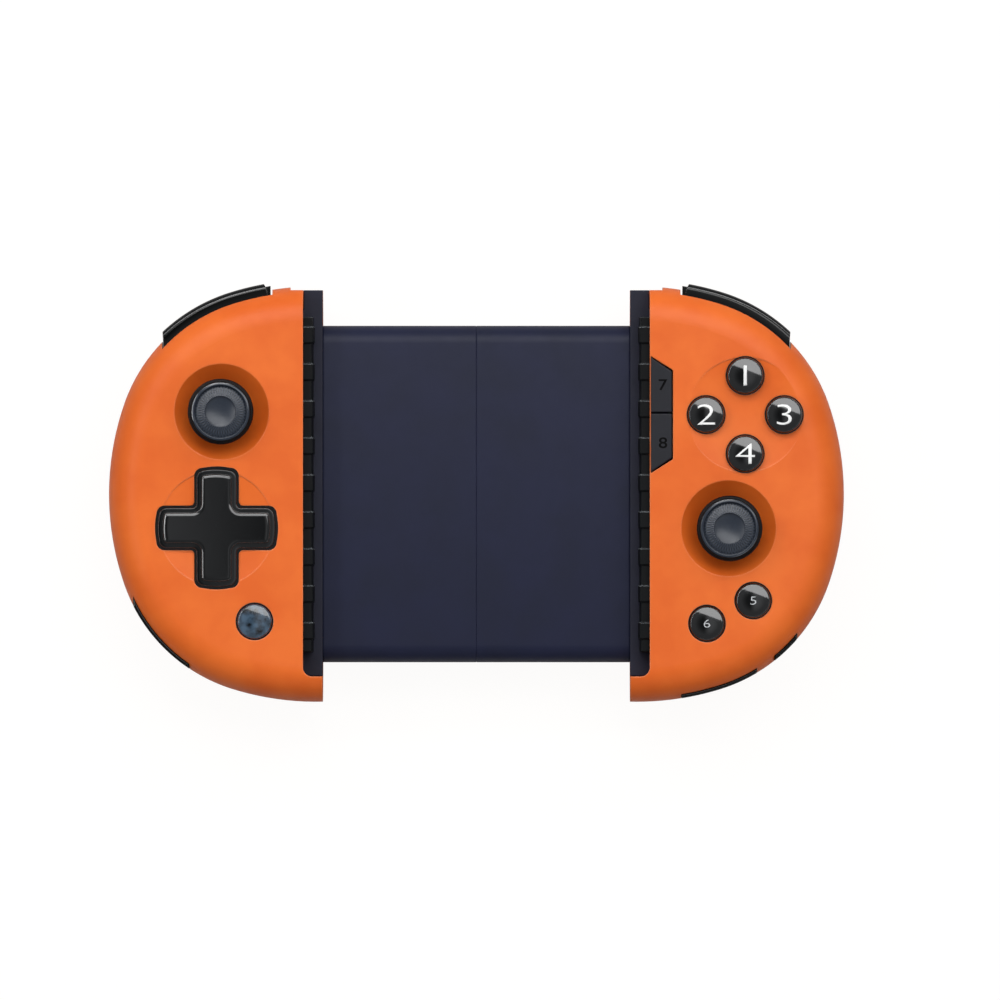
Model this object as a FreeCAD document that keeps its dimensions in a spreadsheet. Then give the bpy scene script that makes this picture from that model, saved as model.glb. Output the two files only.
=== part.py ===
import FreeCAD, Part
import math
import os
import Sketcher

# A telescopic phone gamepad, closed, lying on its back on a table at z = 0.
# X runs along the stretch with the seam of the two cradle halves at X = 0, Y runs up the
# grips, Z points out of the face with the buttons. Millimetres throughout.

os.makedirs("parts", exist_ok=True)
doc = FreeCAD.newDocument("telescopic_gamepad")
sheet = doc.addObject("Spreadsheet::Sheet", "Size")
nodes = []
counter = {"rows": 0, "names": 0}


class Dim:
    """A length or an angle: its value now, and the expression of sheet cells that gives it."""

    def __init__(self, value, text):
        self.value = value
        self.text = text

    def __add__(self, other):
        return Dim(self.value + value_of(other), f"({self.text} + {text_of(other)})")

    def __radd__(self, other):
        return Dim(value_of(other) + self.value, f"({text_of(other)} + {self.text})")

    def __sub__(self, other):
        return Dim(self.value - value_of(other), f"({self.text} - {text_of(other)})")

    def __rsub__(self, other):
        return Dim(value_of(other) - self.value, f"({text_of(other)} - {self.text})")

    def __mul__(self, other):
        return Dim(self.value * value_of(other), f"({self.text} * {text_of(other)})")

    def __rmul__(self, other):
        return Dim(value_of(other) * self.value, f"({text_of(other)} * {self.text})")

    def __truediv__(self, other):
        return Dim(self.value / value_of(other), f"({self.text} / {text_of(other)})")

    def __neg__(self):
        return Dim(-self.value, f"(-1 * {self.text})")


def value_of(item):
    """Gives the number behind a Dim or a plain number."""
    return item.value if isinstance(item, Dim) else float(item)


def text_of(item):
    """Gives the expression text of a Dim or a plain number."""
    return item.text if isinstance(item, Dim) else f"({float(item):.12g})"


def sin(angle):
    """Sine of an angle in degrees."""
    return Dim(math.sin(math.radians(angle.value)), f"sin({angle.text})")


def cos(angle):
    """Cosine of an angle in degrees."""
    return Dim(math.cos(math.radians(angle.value)), f"cos({angle.text})")


def tan(angle):
    """Tangent of an angle in degrees."""
    return Dim(math.tan(math.radians(angle.value)), f"tan({angle.text})")


def asin(ratio):
    """Angle in degrees whose sine is ratio."""
    return Dim(math.degrees(math.asin(ratio.value)), f"asin({ratio.text})")


def sqrt(square):
    """Square root of a Dim."""
    return Dim(math.sqrt(square.value), f"sqrt({square.text})")


def size(alias, value, meaning):
    """Writes one driving size into the sheet, beside its meaning, and gives it as a Dim."""
    counter["rows"] += 1
    sheet.set(f"A{counter['rows']}", meaning)
    sheet.set(f"B{counter['rows']}", str(value))
    sheet.setAlias(f"B{counter['rows']}", alias)
    return Dim(float(value), f"Size.{alias}")


def bind(item, prop, dim):
    """Ties a property to the sheet."""
    item.setExpression(prop, text_of(dim))


def new(kind, word):
    """Adds an object of a kind to the document, with a numbered name."""
    counter["names"] += 1
    return doc.addObject(kind, f"{word}_{counter['names']}")


def place(item, x, y, z):
    """Ties an object's place to the sheet."""
    bind(item, "Placement.Base.x", x)
    bind(item, "Placement.Base.y", y)
    bind(item, "Placement.Base.z", z)


def finish(item, name):
    """Labels an object as a finished piece, to be written to its own file."""
    item.Label = name
    nodes.append(item)
    return item


def box(x0, x1, y0, y1, z0, z1):
    """Makes a block between two corners."""
    block = new("Part::Box", "block")
    bind(block, "Length", x1 - x0)
    bind(block, "Width", y1 - y0)
    bind(block, "Height", z1 - z0)
    place(block, x0, y0, z0)
    return block


def rod(x, y, z0, z1, radius):
    """Makes an upright cylinder."""
    cylinder = new("Part::Cylinder", "rod")
    bind(cylinder, "Radius", radius)
    bind(cylinder, "Height", z1 - z0)
    place(cylinder, x, y, z0)
    return cylinder


def rod_x(x0, x1, y, z, radius):
    """Makes a cylinder that lies along X."""
    cylinder = new("Part::Cylinder", "rod")
    cylinder.Placement.Rotation = FreeCAD.Rotation(FreeCAD.Vector(0, 1, 0), 90)
    bind(cylinder, "Radius", radius)
    bind(cylinder, "Height", x1 - x0)
    place(cylinder, x0, y, z)
    return cylinder


def rod_y(x, y0, y1, z, radius):
    """Makes a cylinder that lies along Y."""
    cylinder = new("Part::Cylinder", "rod")
    cylinder.Placement.Rotation = FreeCAD.Rotation(FreeCAD.Vector(1, 0, 0), -90)
    bind(cylinder, "Radius", radius)
    bind(cylinder, "Height", y1 - y0)
    place(cylinder, x, y0, z)
    return cylinder


def cone(x, y, z0, z1, radius0, radius1):
    """Makes an upright frustum from radius0 at z0 to radius1 at z1."""
    frustum = new("Part::Cone", "cone")
    bind(frustum, "Radius1", radius0)
    bind(frustum, "Radius2", radius1)
    bind(frustum, "Height", z1 - z0)
    place(frustum, x, y, z0)
    return frustum


def fuse(items):
    """Joins solids into one piece."""
    joined = new("Part::MultiFuse", "joined")
    joined.Shapes = items
    joined.Refine = True
    return joined


def cut(base, tools):
    """Takes the tools away from base, one after another."""
    for tool in tools:
        result = new("Part::Cut", "cut")
        result.Base = base
        result.Tool = tool
        base = result
    return base


def common(base, tool):
    """Keeps what two solids share."""
    result = new("Part::Common", "shared")
    result.Base = base
    result.Tool = tool
    return result


def mirrored(source):
    """Makes the right-hand copy of a left-hand piece, in the plane X = 0."""
    copy = new("Part::Mirroring", "mirrored")
    copy.Source = source
    copy.Normal = FreeCAD.Vector(1, 0, 0)
    return copy


def group(items):
    """Holds like pieces together as separate solids."""
    compound = new("Part::Compound", "group")
    compound.Links = items
    return compound


def draw(sketch, points):
    """Draws a closed outline, held by the distances of its points from the origin.

    A point is (x, y), where a straight edge starts, or (x, y, radius, bulge), where an arc
    starts: bulge 1 swells out of an outline that runs anticlockwise, and -1 dips into it.
    """
    first = sketch.GeometryCount
    corners = [FreeCAD.Vector(value_of(p[0]), value_of(p[1]), 0) for p in points]
    for index, point in enumerate(points):
        start = corners[index]
        end = corners[(index + 1) % len(points)]
        if len(point) == 2:
            sketch.addGeometry(Part.LineSegment(start, end), False)
            continue
        chord = end - start
        half = chord.Length / 2
        radius = value_of(point[2])
        rise = radius - math.sqrt(radius * radius - half * half)
        outwards = FreeCAD.Vector(chord.y, -chord.x, 0) * (point[3] * rise / chord.Length)
        middle = (start + end) * 0.5 + outwards
        ends = (start, end) if point[3] > 0 else (end, start)
        sketch.addGeometry(Part.Arc(ends[0], middle, ends[1]), False)

    def end_at(edge, corner):
        gap = sketch.Geometry[edge].StartPoint.distanceToPoint(corner)
        return 1 if gap < sketch.Geometry[edge].EndPoint.distanceToPoint(corner) else 2

    for index, point in enumerate(points):
        edge = first + index
        following = first + (index + 1) % len(points)
        corner = corners[(index + 1) % len(points)]
        sketch.addConstraint(Sketcher.Constraint(
            "Coincident", edge, end_at(edge, corner), following, end_at(following, corner)))
        near = end_at(edge, corners[index])
        held = [("DistanceX", point[0]), ("DistanceY", point[1])]
        for kind, distance in held:
            number = sketch.addConstraint(
                Sketcher.Constraint(kind, -1, 1, edge, near, value_of(distance)))
            bind(sketch, f"Constraints[{number}]", distance)
        if len(point) > 2:
            number = sketch.addConstraint(
                Sketcher.Constraint("Radius", edge, value_of(point[2])))
            bind(sketch, f"Constraints[{number}]", point[2])


def draw_circle(sketch, x, y, radius):
    """Draws a circle held by its centre and radius."""
    centre = FreeCAD.Vector(value_of(x), value_of(y), 0)
    edge = sketch.addGeometry(
        Part.Circle(centre, FreeCAD.Vector(0, 0, 1), value_of(radius)), False)
    held = [("DistanceX", x), ("DistanceY", y)]
    for kind, distance in held:
        number = sketch.addConstraint(
            Sketcher.Constraint(kind, -1, 1, edge, 3, value_of(distance)))
        bind(sketch, f"Constraints[{number}]", distance)
    number = sketch.addConstraint(Sketcher.Constraint("Radius", edge, value_of(radius)))
    bind(sketch, f"Constraints[{number}]", radius)


def prism(points, z0, z1):
    """Extrudes a flat outline upwards from z0 to z1."""
    sketch = new("Sketcher::SketchObject", "outline")
    draw(sketch, points)
    bind(sketch, "Placement.Base.z", z0)
    solid = new("Part::Extrusion", "prism")
    solid.Base = sketch
    solid.DirMode = "Custom"
    solid.Dir = FreeCAD.Vector(0, 0, 1)
    bind(solid, "LengthFwd", z1 - z0)
    solid.Solid = True
    return solid


def start_body(word):
    """Opens a body for a piece that is built by sketches and features."""
    return new("PartDesign::Body", word)


def sketch_in(body, role, offset, outlines):
    """Adds a sketch on one of the body's own planes, moved along its normal by offset."""
    sketch = body.newObject("Sketcher::SketchObject", f"profile_{len(body.Group)}")
    plane = [f for f in body.Origin.OriginFeatures if f.Role == role][0]
    sketch.AttachmentSupport = [(plane, "")]
    sketch.MapMode = "FlatFace"
    bind(sketch, "AttachmentOffset.Base.z", offset)
    for outline in outlines:
        draw(sketch, outline)
    return sketch


def pad(body, sketch, length):
    """Raises a sketch by a length along its normal."""
    feature = body.newObject("PartDesign::Pad", "pad")
    feature.Profile = sketch
    bind(feature, "Length", length)
    body.Tip = feature
    return feature


def pocket(body, sketch, length, both_ways=False, reverse=False):
    """Cuts a sketch into the body, against its normal."""
    feature = body.newObject("PartDesign::Pocket", "pocket")
    feature.Profile = sketch
    bind(feature, "Length", length)
    feature.Midplane = both_ways
    feature.Reversed = reverse
    body.Tip = feature
    return feature


def turn_body(word, points):
    """Makes a turned piece: a half profile of (radius, z) points spun about Z."""
    body = start_body(word)
    sketch = sketch_in(body, "XZ_Plane", 0, [points])
    feature = body.newObject("PartDesign::Revolution", "turned")
    feature.Profile = sketch
    feature.ReferenceAxis = (sketch, ["V_Axis"])
    feature.Angle = 360
    body.Tip = feature
    return body


def round_edges(body, radius, wanted):
    """Rounds the edges of the body's last feature for which wanted(edge) is true."""
    last = body.Tip
    last.recompute(True)
    names = [f"Edge{i + 1}" for i, edge in enumerate(last.Shape.Edges) if wanted(edge)]
    feature = body.newObject("PartDesign::Fillet", "rounding")
    feature.Base = (last, names)
    bind(feature, "Radius", radius)
    body.Tip = feature
    return feature


# Grips
# Each grip is two moulded shells that meet at one height. Seen from the front its outline
# is five arcs: a long one down the side, two corner arcs, and a flatter one at each end.

reach = size("reach", 86.67, "half width of the closed gamepad")
half_tall = size("half_tall", 49, "half height of a grip along Y")
side_share = size("side_share", 1.3224, "radius of the grip's side over its half height")
side_angle = size("side_angle", 19.36, "half angle of the side arc in degrees")
corner_share = size("corner_share", 0.802, "radius of the grip's corners over its half height")
end_share = size("end_share", 1.3612, "radius of the grip's ends over its half height")
inner_face = size("inner_face", 36.25, "from the seam to a grip's inner face")
split_height = size("split_height", 16, "height at which the two shells meet")
top_height = size("top_height", 29.5, "height of the front at the crown's top")
crown_arc = size("crown_arc", 420, "radius of the front's crown across X")
crown_place = size("crown_place", 52, "from the seam to the crown's top")
front_round = size("front_round", 8, "rounding of the front shell's edge")
back_round = size("back_round", 12, "rounding of the back shell's edge")
front_wall = size("front_wall", 1.8, "wall of the front shell")
back_wall = size("back_wall", 2, "wall of the back shell")
over_cut = size("over_cut", 1, "how far a cut runs past what it cuts")
through = size("through", 150, "length of a cut that passes right through a grip")
side_arc = half_tall * side_share
corner_arc = half_tall * corner_share
end_arc = half_tall * end_share
side_x = side_arc - reach
corner_x = side_x - (side_arc - corner_arc) * cos(side_angle)
corner_y = (side_arc - corner_arc) * sin(side_angle)
turn = asin((half_tall - corner_y - end_arc) / (corner_arc - end_arc))
end_x = corner_x - (corner_arc - end_arc) * cos(turn)
end_y = corner_y + (corner_arc - end_arc) * sin(turn)


def end_level(x):
    """Gives how far the outline's end arc lies from Y = 0, at x from the seam."""
    return end_y + sqrt(end_arc * end_arc - (x + end_x) * (x + end_x))


def corner_level(x):
    """Gives how far the outline's corner arc lies from Y = 0, at x from the seam."""
    return corner_y + sqrt(corner_arc * corner_arc - (x + corner_x) * (x + corner_x))


def grip_outline(inset, inner):
    """Gives the left grip's outline, moved in by inset and ended at x = inner."""
    side = side_arc - inset
    corner = corner_arc - inset
    end = end_arc - inset
    ax = side_x - side * cos(side_angle)
    ay = side * sin(side_angle)
    bx = corner_x - corner * cos(turn)
    by = corner_y + corner * sin(turn)
    dy = end_y + sqrt(end * end - (inner - end_x) * (inner - end_x))
    return [(inner, -dy), (inner, dy, end, 1), (bx, by, corner, 1), (ax, ay, side, 1),
            (ax, -ay, corner, 1), (bx, -by, end, 1)]


def outside_edge(edge, inner):
    """Tells the edges that follow the outline from those of the flat inner face."""
    span = edge.BoundBox
    on_inner = abs(span.XMin - inner) < 1e-3 and abs(span.XMax - inner) < 1e-3
    upright = span.XLength < 1e-3 and span.YLength < 1e-3
    return not on_inner and not upright


def front_form(inset, inner, base):
    """Makes the front of a grip: its outline, crowned across X, with a rounded rim."""
    body = start_body("front_form")
    outline = sketch_in(body, "XY_Plane", base, [grip_outline(inset, inner)])
    pad(body, outline, top_height - base)
    crown = crown_arc - inset
    far = -(reach + over_cut)
    near = -(inner_face - over_cut)
    low = top_height - crown_arc
    far_z = low + sqrt(crown * crown - (far + crown_place) * (far + crown_place))
    near_z = low + sqrt(crown * crown - (near + crown_place) * (near + crown_place))
    above = top_height + over_cut
    sky = sketch_in(body, "XZ_Plane", 0, [[
        (far, far_z, crown, -1), (near, near_z), (near, above), (far, above)]])
    pocket(body, sky, through, both_ways=True)
    floor = value_of(base) + 1e-3
    round_edges(body, front_round - inset, lambda edge: (
        outside_edge(edge, value_of(inner)) and edge.BoundBox.ZMin > floor))
    return body


def back_form(inset, inner, base, top):
    """Makes the back of a grip: its outline, with a large rounding where the palm lies."""
    body = start_body("back_form")
    outline = sketch_in(body, "XY_Plane", base, [grip_outline(inset, inner)])
    pad(body, outline, top - base)
    floor = value_of(base) + 1e-3
    round_edges(body, back_round - inset, lambda edge: (
        outside_edge(edge, value_of(inner)) and edge.BoundBox.ZMax < floor))
    return body


def rim(outset, inset, x0, x1, y0, y1, z0, z1):
    """Makes the part of a band along the outline that lies in a box, all upright."""
    outer = prism(grip_outline(-1 * outset, -1 * inner_face), z0, z1)
    inner = prism(grip_outline(inset, -1 * inner_face), z0 - over_cut, z1 + over_cut)
    return common(cut(outer, [inner]), box(x0, x1, y0, y1, z0, z1))


# Inner levels of a grip: the circuit board lies on posts above the cradle's tongue.

board_bottom = size("board_bottom", 19.3, "height of the circuit boards' underside")
board_thick = size("board_thick", 1, "thickness of a circuit board")
board_inset = size("board_inset", 6.8, "from the grip's outline to its board's edge")
board_top = board_bottom + board_thick

# Phone clamp seats: the clamp is an angle of moulded plastic let into each inner edge.

skin_edge = size("skin_edge", 40.85, "from the seam to the front shell's skin edge")
skin_thick = size("skin_thick", 0.9, "skin left above the clamp's wall")
clamp_back = size("clamp_back", 42.4, "from the seam to the back of the clamp's wall")
clamp_wall = size("clamp_wall", 1.5, "wall of the clamp")
clamp_drop = size("clamp_drop", 0.94, "from the grip's upper end down to the clamp's")
clamp_rise = size("clamp_rise", 6.1, "from the grip's lower end up to the clamp's")
clamp_high = half_tall - clamp_drop
clamp_low = half_tall - clamp_rise
wall_drop = size("wall_drop", 5.4, "from the grip's upper end down to the clamp's wall")
wall_end = half_tall - wall_drop
clamp_corner = size("clamp_corner", 2.2, "rounding of the skin at the clamp's lower corner")
rest_height = size("rest_height", 21.6, "height of the clamp's foot, where a phone's edge lies")
fit_gap = size("fit_gap", 0.1, "gap between fitted moulded pieces")
leg_reach = size("leg_reach", 43.9, "from the seam to the end of the clamp's upper leg")
skin_level = top_height - skin_thick
clamp_top = skin_level - fit_gap

# Posts take four screws a grip, driven from the back through the board into the front.

post_radius = size("post_radius", 3.4, "radius of a screw post in the back shell")
boss_radius = size("boss_radius", 2.6, "radius of a screw boss in the front shell")
head_radius = size("head_radius", 2.2, "radius of a screw's head")
head_height = size("head_height", 1.6, "height of a screw's head")
head_seat = size("head_seat", 9, "height of the seat of a screw's head")
head_room = size("head_room", 0.35, "room round a screw's head")
shank_radius = size("shank_radius", 1, "radius of a screw's shank")
shank_end = size("shank_end", 25, "height of a screw's point")
shank_room = size("shank_room", 0.15, "room round a screw's shank")
slot_width = size("slot_width", 0.7, "width of the slots in a screw's head")
slot_deep = size("slot_deep", 0.8, "depth of the slots in a screw's head")
inner_post_in = size("inner_post_in", 5.6, "upper and lower posts from the clamp's wall")
inner_post_x = clamp_back + inner_post_in
top_post_down = size("top_post_down", 10.6, "upper post from the grip's outline")
top_post_y = end_level(inner_post_x) - top_post_down
low_post_up = size("low_post_up", 8.2, "lower post from the grip's outline")
low_post_y = low_post_up - end_level(inner_post_x)
side_post_in = size("side_post_in", 9.67, "outer post from the grip's side")
side_post_x = reach - side_post_in
side_post_y = size("side_post_y", 8, "outer post along Y")
heel_post_in = size("heel_post_in", 13.07, "lower outer post from the grip's side")
heel_post_x = reach - heel_post_in
heel_post_y = size("heel_post_y", -22.4, "lower outer post along Y")
post_places = [(-1 * inner_post_x, top_post_y), (-1 * side_post_x, side_post_y),
               (-1 * heel_post_x, heel_post_y), (-1 * inner_post_x, low_post_y)]

# Levers: the upper bumper and the lower trigger of a grip swing on one upright pin.

pin_in = size("pin_in", 4.6, "lever pin from the clamp's wall")
pin_x = clamp_back + pin_in
pin_down = size("pin_down", 4.75, "lever pin from the grip's outline")
pin_y = end_level(pin_x) - pin_down
pin_radius = size("pin_radius", 0.9, "radius of the lever pin")
pin_room = size("pin_room", 0.05, "running gap round the lever pin")
pin_low = size("pin_low", 3.6, "height of the pin's lower end")
pin_high = size("pin_high", 26, "height of the pin's upper end")
eye_radius = size("eye_radius", 2.2, "radius of the eyes and bosses round the pin")
lever_in = size("lever_in", 13.07, "from the grip's side to the levers' outer end")
lever_far = reach - lever_in
lever_start = size("lever_start", 1.6, "from the pin to the levers' inner end")
lever_near = pin_x + lever_start
lever_gap = size("lever_gap", 0.5, "gap at the ends of the levers")
lever_room = size("lever_room", 7.8, "depth of the levers' window from the outline")
window_out = size("window_out", 3, "how far the levers' window is cut past the outline")
bumper_out = size("bumper_out", 1.65, "how far the bumper stands out of the outline")
bumper_deep = size("bumper_deep", 3.2, "how far the bumper reaches in from the outline")
bumper_low = size("bumper_low", 16.5, "height of the bumper's lower edge")
bumper_high = size("bumper_high", 24, "height of the bumper's upper edge")
bumper_step = size("bumper_step", 1.2, "from the outline to the skin edge above the bumper")
bumper_lean = size("bumper_lean", 0.53, "lean of the bumper's inner end, in X along Y")
tip_lean = size("tip_lean", 0.26, "lean of the bumper's outer end, in X along Y")
bumper_gap = size("bumper_gap", 0.3, "gap above the bumper")
eye_high = size("eye_high", 20.8, "height of the bumper's eye")
trigger_low = size("trigger_low", 5.8, "height of the trigger's lower edge")
trigger_high = size("trigger_high", 15.8, "height of the trigger's upper edge")
trigger_out = size("trigger_out", 1, "how far the trigger stands out of the outline")
trigger_deep = size("trigger_deep", 5.2, "how far the trigger reaches in from the outline")
trigger_eye = size("trigger_eye", 9.4, "height of the underside of the trigger's eye")
trigger_base = size("trigger_base", 2.6, "height where the trigger's rounded form starts")
trigger_gap = size("trigger_gap", 0.4, "gap below the trigger")
arm_long = size("arm_long", 5, "length of a lever's arm beside its eye")
arm_thick = size("arm_thick", 3, "thickness of a lever's arm")

# Sticks: both sit in the same conical well and tilt about the same height.

stick_left_in = size("stick_left_in", 26.47, "left stick from the grip's side")
stick_left_x = reach - stick_left_in
stick_left_y = size("stick_left_y", 19.4, "left stick along Y")
stick_right_in = size("stick_right_in", 27.07, "right stick from the grip's side")
stick_right_x = reach - stick_right_in
stick_right_y = size("stick_right_y", -8.1, "right stick along Y")
well_mouth = size("well_mouth", 11.4, "radius of a stick well at the crown's height")
well_floor = size("well_floor", 7.6, "radius of a stick well at its floor")
well_bottom = size("well_bottom", 25.5, "height of a stick well's floor")
well_wall = size("well_wall", 1.3, "wall of a stick well")
stick_hole = size("stick_hole", 7.45, "radius of the hole in a stick well's floor")

# Directional pad and the round keys.

dpad_in = size("dpad_in", 25.47, "directional pad from the grip's side")
dpad_x = reach - dpad_in
dpad_y = size("dpad_y", -8, "directional pad along Y")
dpad_span = size("dpad_span", 27.2, "span of the directional pad")
dpad_arm = size("dpad_arm", 9.4, "width of the directional pad's arms")
dpad_corner = size("dpad_corner", 1.9, "rounding of the arms' corners")
dpad_root = size("dpad_root", 1, "rounding between the arms")
dpad_end_arc = size("dpad_end_arc", 16, "radius of the arms' ends")
dpad_room = size("dpad_room", 0.55, "gap round the directional pad")
dish_radius = size("dish_radius", 13.5, "radius of the shallow dishes in the front")
dish_floor = size("dish_floor", 28.2, "height of a dish's lowest point")
dish_arc = size("dish_arc", 100, "radius of the hollow of a dish")
key_dish_in = size("key_dish_in", 23.37, "centre of the four face buttons from the grip's side")
key_dish_x = reach - key_dish_in
key_dish_y = size("key_dish_y", 18.7, "centre of the four face buttons along Y")
key_pitch = size("key_pitch", 9.2, "from that centre to each face button")
key_radius = size("key_radius", 4.25, "radius of a face button")
key_room = size("key_room", 0.35, "gap round a round key")
home_in = size("home_in", 34.42, "home button from the grip's side")
home_x = reach - home_in
home_y = size("home_y", -30, "home button along Y")
start_in = size("start_in", 21.47, "start button from the grip's side")
start_x = reach - start_in
start_y = size("start_y", -25.1, "start button along Y")
select_in = size("select_in", 32.37, "select button from the grip's side")
select_x = reach - select_in
select_y = size("select_y", -30.5, "select button along Y")
small_radius = size("small_radius", 4.1, "radius of the small round keys")

# Side keys: two wedge-shaped keys between the face buttons and the phone.

side_key_in = size("side_key_in", 41.1, "from the seam to the side keys' inner edge")
side_key_out = size("side_key_out", 46, "from the seam to the side keys' outer edge")
side_key_top = size("side_key_top", 32.2, "upper end of the side keys' inner edge")
side_key_low = size("side_key_low", 5.2, "lower end of the side keys' inner edge")
side_key_slant = size("side_key_slant", 3.3, "how much shorter the outer edge is at each end")
side_key_split = size("side_key_split", 19.1, "where the two side keys meet along Y")
side_key_gap = size("side_key_gap", 0.3, "gap round a side key")
side_key_base = size("side_key_base", 23.4, "height of a side key's underside")
side_key_crown = size("side_key_crown", 29.9, "height of a side key's top")
side_key_lip = size("side_key_lip", 0.8, "lip that keeps a side key in")
side_key_travel = size("side_key_travel", 0.8, "how far a side key goes down")
side_key_notch = size("side_key_notch", 39.25, "from the seam to the clamp's notch for the keys")

# Gloss inserts let into the lower rim, and the charging port.

insert_deep = size("insert_deep", 1, "thickness of a gloss insert")
insert_low = size("insert_low", 13.5, "height of an insert's lower edge")
insert_high = size("insert_high", 24.8, "height of an insert's upper edge")
left_insert_gap = size("left_insert_gap", 5.77, "left insert from the grip's side")
left_insert_long = size("left_insert_long", 13.3, "length of the left insert along X")
left_insert_out = reach - left_insert_gap
left_insert_in = left_insert_out - left_insert_long
side_insert_gap = size("side_insert_gap", 11.07, "short right insert from the grip's side")
side_insert_long = size("side_insert_long", 5.4, "length of the short right insert along X")
side_insert_out = reach - side_insert_gap
side_insert_in = side_insert_out - side_insert_long
port_x = size("port_x", 57.2, "charging port from the seam")
port_insert_half = size("port_insert_half", 8.95, "half length of the long right insert along X")
port_insert_out = port_x + port_insert_half
port_insert_in = port_x - port_insert_half
port_width = size("port_width", 9, "width of the charging socket")
port_tall = size("port_tall", 3.2, "height of the charging socket")
port_sink = size("port_sink", 2.5, "from the outline in to the charging socket's mouth")
port_face = end_level(port_x) - port_sink
port_sheet = size("port_sheet", 0.3, "sheet of the charging socket")
port_drop = size("port_drop", 0.05, "gap between the socket and the board")
port_room = size("port_room", 0.2, "room round the socket's mouth")
leaf_thick = size("leaf_thick", 0.8, "thickness of the leaf inside the socket")
leaf_half = size("leaf_half", 3, "half width of the leaf inside the socket")
leaf_short = size("leaf_short", 1.2, "from the socket's mouth in to its leaf")

# Cradle levels are needed by the shells, which the tongue passes into.

plate_top = size("plate_top", 20, "height of the cradle plate")
plate_bottom = size("plate_bottom", 11, "height of the cradle's underside")
plate_split = size("plate_split", 15.5, "height at which plate and back cover meet")
plate_step = size("plate_step", 6, "how much wider the plate is than its tongue, at each side")
plate_round = size("plate_round", 4.2, "rounding of the cradle's long edges")
tongue_top = size("tongue_top", 19.2, "height of the tongue inside the grip")
tongue_bottom = size("tongue_bottom", 11.4, "height of the tongue's underside")
tongue_clear = size("tongue_clear", 0.5, "from the upper post to the tongue's edge")
tongue_half = top_post_y - post_radius - tongue_clear
plate_half = tongue_half + plate_step
socket_clear = size("socket_clear", 2.6, "from the charging socket's back to the tongue")
port_long = port_face - tongue_half - socket_clear
tongue_reach = size("tongue_reach", 64, "from the seam to the tongue's end")
tongue_gap = size("tongue_gap", 0.2, "gap round the tongue where it enters the grip")


def lever_window(low, high, inset):
    """Makes the cut for a lever: a band of the left outline, wider than the lever."""
    return rim(window_out, inset, -1 * (lever_far + lever_gap), -1 * (lever_near - lever_gap),
               0 * reach, half_tall + window_out, low, high)


def insert_band(outset, inset, far, near, low, high):
    """Makes a band of the left outline below Y = 0, for an insert or its recess."""
    return rim(outset, inset, -1 * far, -1 * near, -1 * (half_tall + window_out), 0 * reach,
               low, high)


def cross_outline(span, width, corner, root, end_arc_radius, x, y):
    """Gives a cross with rounded corners, rounded roots and slightly swelling arm ends."""
    far = span / 2
    side = width / 2
    arm = [(side + root, -side), (far - corner, -side, corner, 1),
           (far, corner - side, end_arc_radius, 1), (far, side - corner, corner, 1),
           (far - corner, side), (side + root, side, root, -1)]
    points = []
    turns = [(1, 0), (0, 1), (-1, 0), (0, -1)]
    for along, across in turns:
        for point in arm:
            turned = (x + point[0] * along - point[1] * across,
                      y + point[0] * across + point[1] * along)
            points.append(turned + tuple(point[2:]))
    return points


def well_bowl(x, y):
    """Makes the outside of a stick well's wall, below the front's skin."""
    slope = (well_mouth - well_floor) / (top_height - well_bottom)
    low = well_bottom - well_wall
    wide = well_floor + well_wall + slope * (top_height - front_wall - low)
    return cone(x, y, low, top_height - front_wall, well_floor + well_wall, wide)


def well_cuts(x, y):
    """Makes the inside of a stick well and the hole in its floor."""
    return [cone(x, y, well_bottom, top_height, well_floor, well_mouth),
            rod(x, y, well_bottom - well_wall - over_cut, top_height, stick_hole)]


def dish_cut(x, y):
    """Makes the shallow dish round a group of keys, hollow and square to the crown."""
    hollow = new("Part::Sphere", "hollow")
    bind(hollow, "Radius", dish_arc)
    place(hollow, x + dish_arc * (x - crown_place) / crown_arc, y, dish_floor + dish_arc)
    return common(hollow, rod(x, y, dish_floor - over_cut, top_height + over_cut, dish_radius))


def key_hole(x, y, radius):
    """Makes the hole that a round key stands in."""
    return rod(x, y, split_height, top_height + over_cut, radius + key_room)


def side_key_outline(grow, low, high, low_slant, high_slant):
    """Gives the outline of the side keys, or of one of them, grown on three sides."""
    return [(side_key_in, low - grow), (side_key_out + grow, low - grow + low_slant),
            (side_key_out + grow, high + grow - high_slant), (side_key_in, high + grow)]


# Front shells: a thin moulding with wells, dishes, holes, screw bosses and lever windows.
# The part of the cavity that the bosses and wells take up stays solid.

zero = 0 * reach
skin_gap = clamp_back + fit_gap
shell_inner = skin_gap + front_wall
front_blank = front_form(zero, -1 * inner_face, split_height)
bosses = [rod(x, y, board_top, top_height, boss_radius) for x, y in post_places]
pin_boss = rod(-1 * pin_x, pin_y, eye_high + head_height, top_height, eye_radius)
pilots = [rod(x, y, board_bottom, shank_end, shank_radius) for x, y in post_places]
pin_hole = rod(-1 * pin_x, pin_y, pin_low, pin_high, pin_radius)
clamp_seat = fuse([
    box(-1 * skin_gap, over_cut - inner_face, -1 * (clamp_low + fit_gap), wall_end + fit_gap,
        split_height - over_cut, skin_level),
    box(-1 * skin_edge, over_cut - inner_face, wall_end, half_tall + window_out,
        split_height - over_cut, skin_level)])
skin_cut = prism([
    (clamp_corner - skin_edge, -1 * (clamp_low + fit_gap)),
    (over_cut - inner_face, -1 * (clamp_low + fit_gap)),
    (over_cut - inner_face, half_tall + window_out),
    (-1 * skin_edge, half_tall + window_out),
    (-1 * skin_edge, clamp_corner - clamp_low - fit_gap, clamp_corner, 1)],
    skin_level - fit_gap, top_height + over_cut)
leg_cut = box(-1 * leg_reach, over_cut - inner_face, clamp_high, half_tall + window_out,
              -1 * over_cut, top_height + over_cut)
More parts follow.
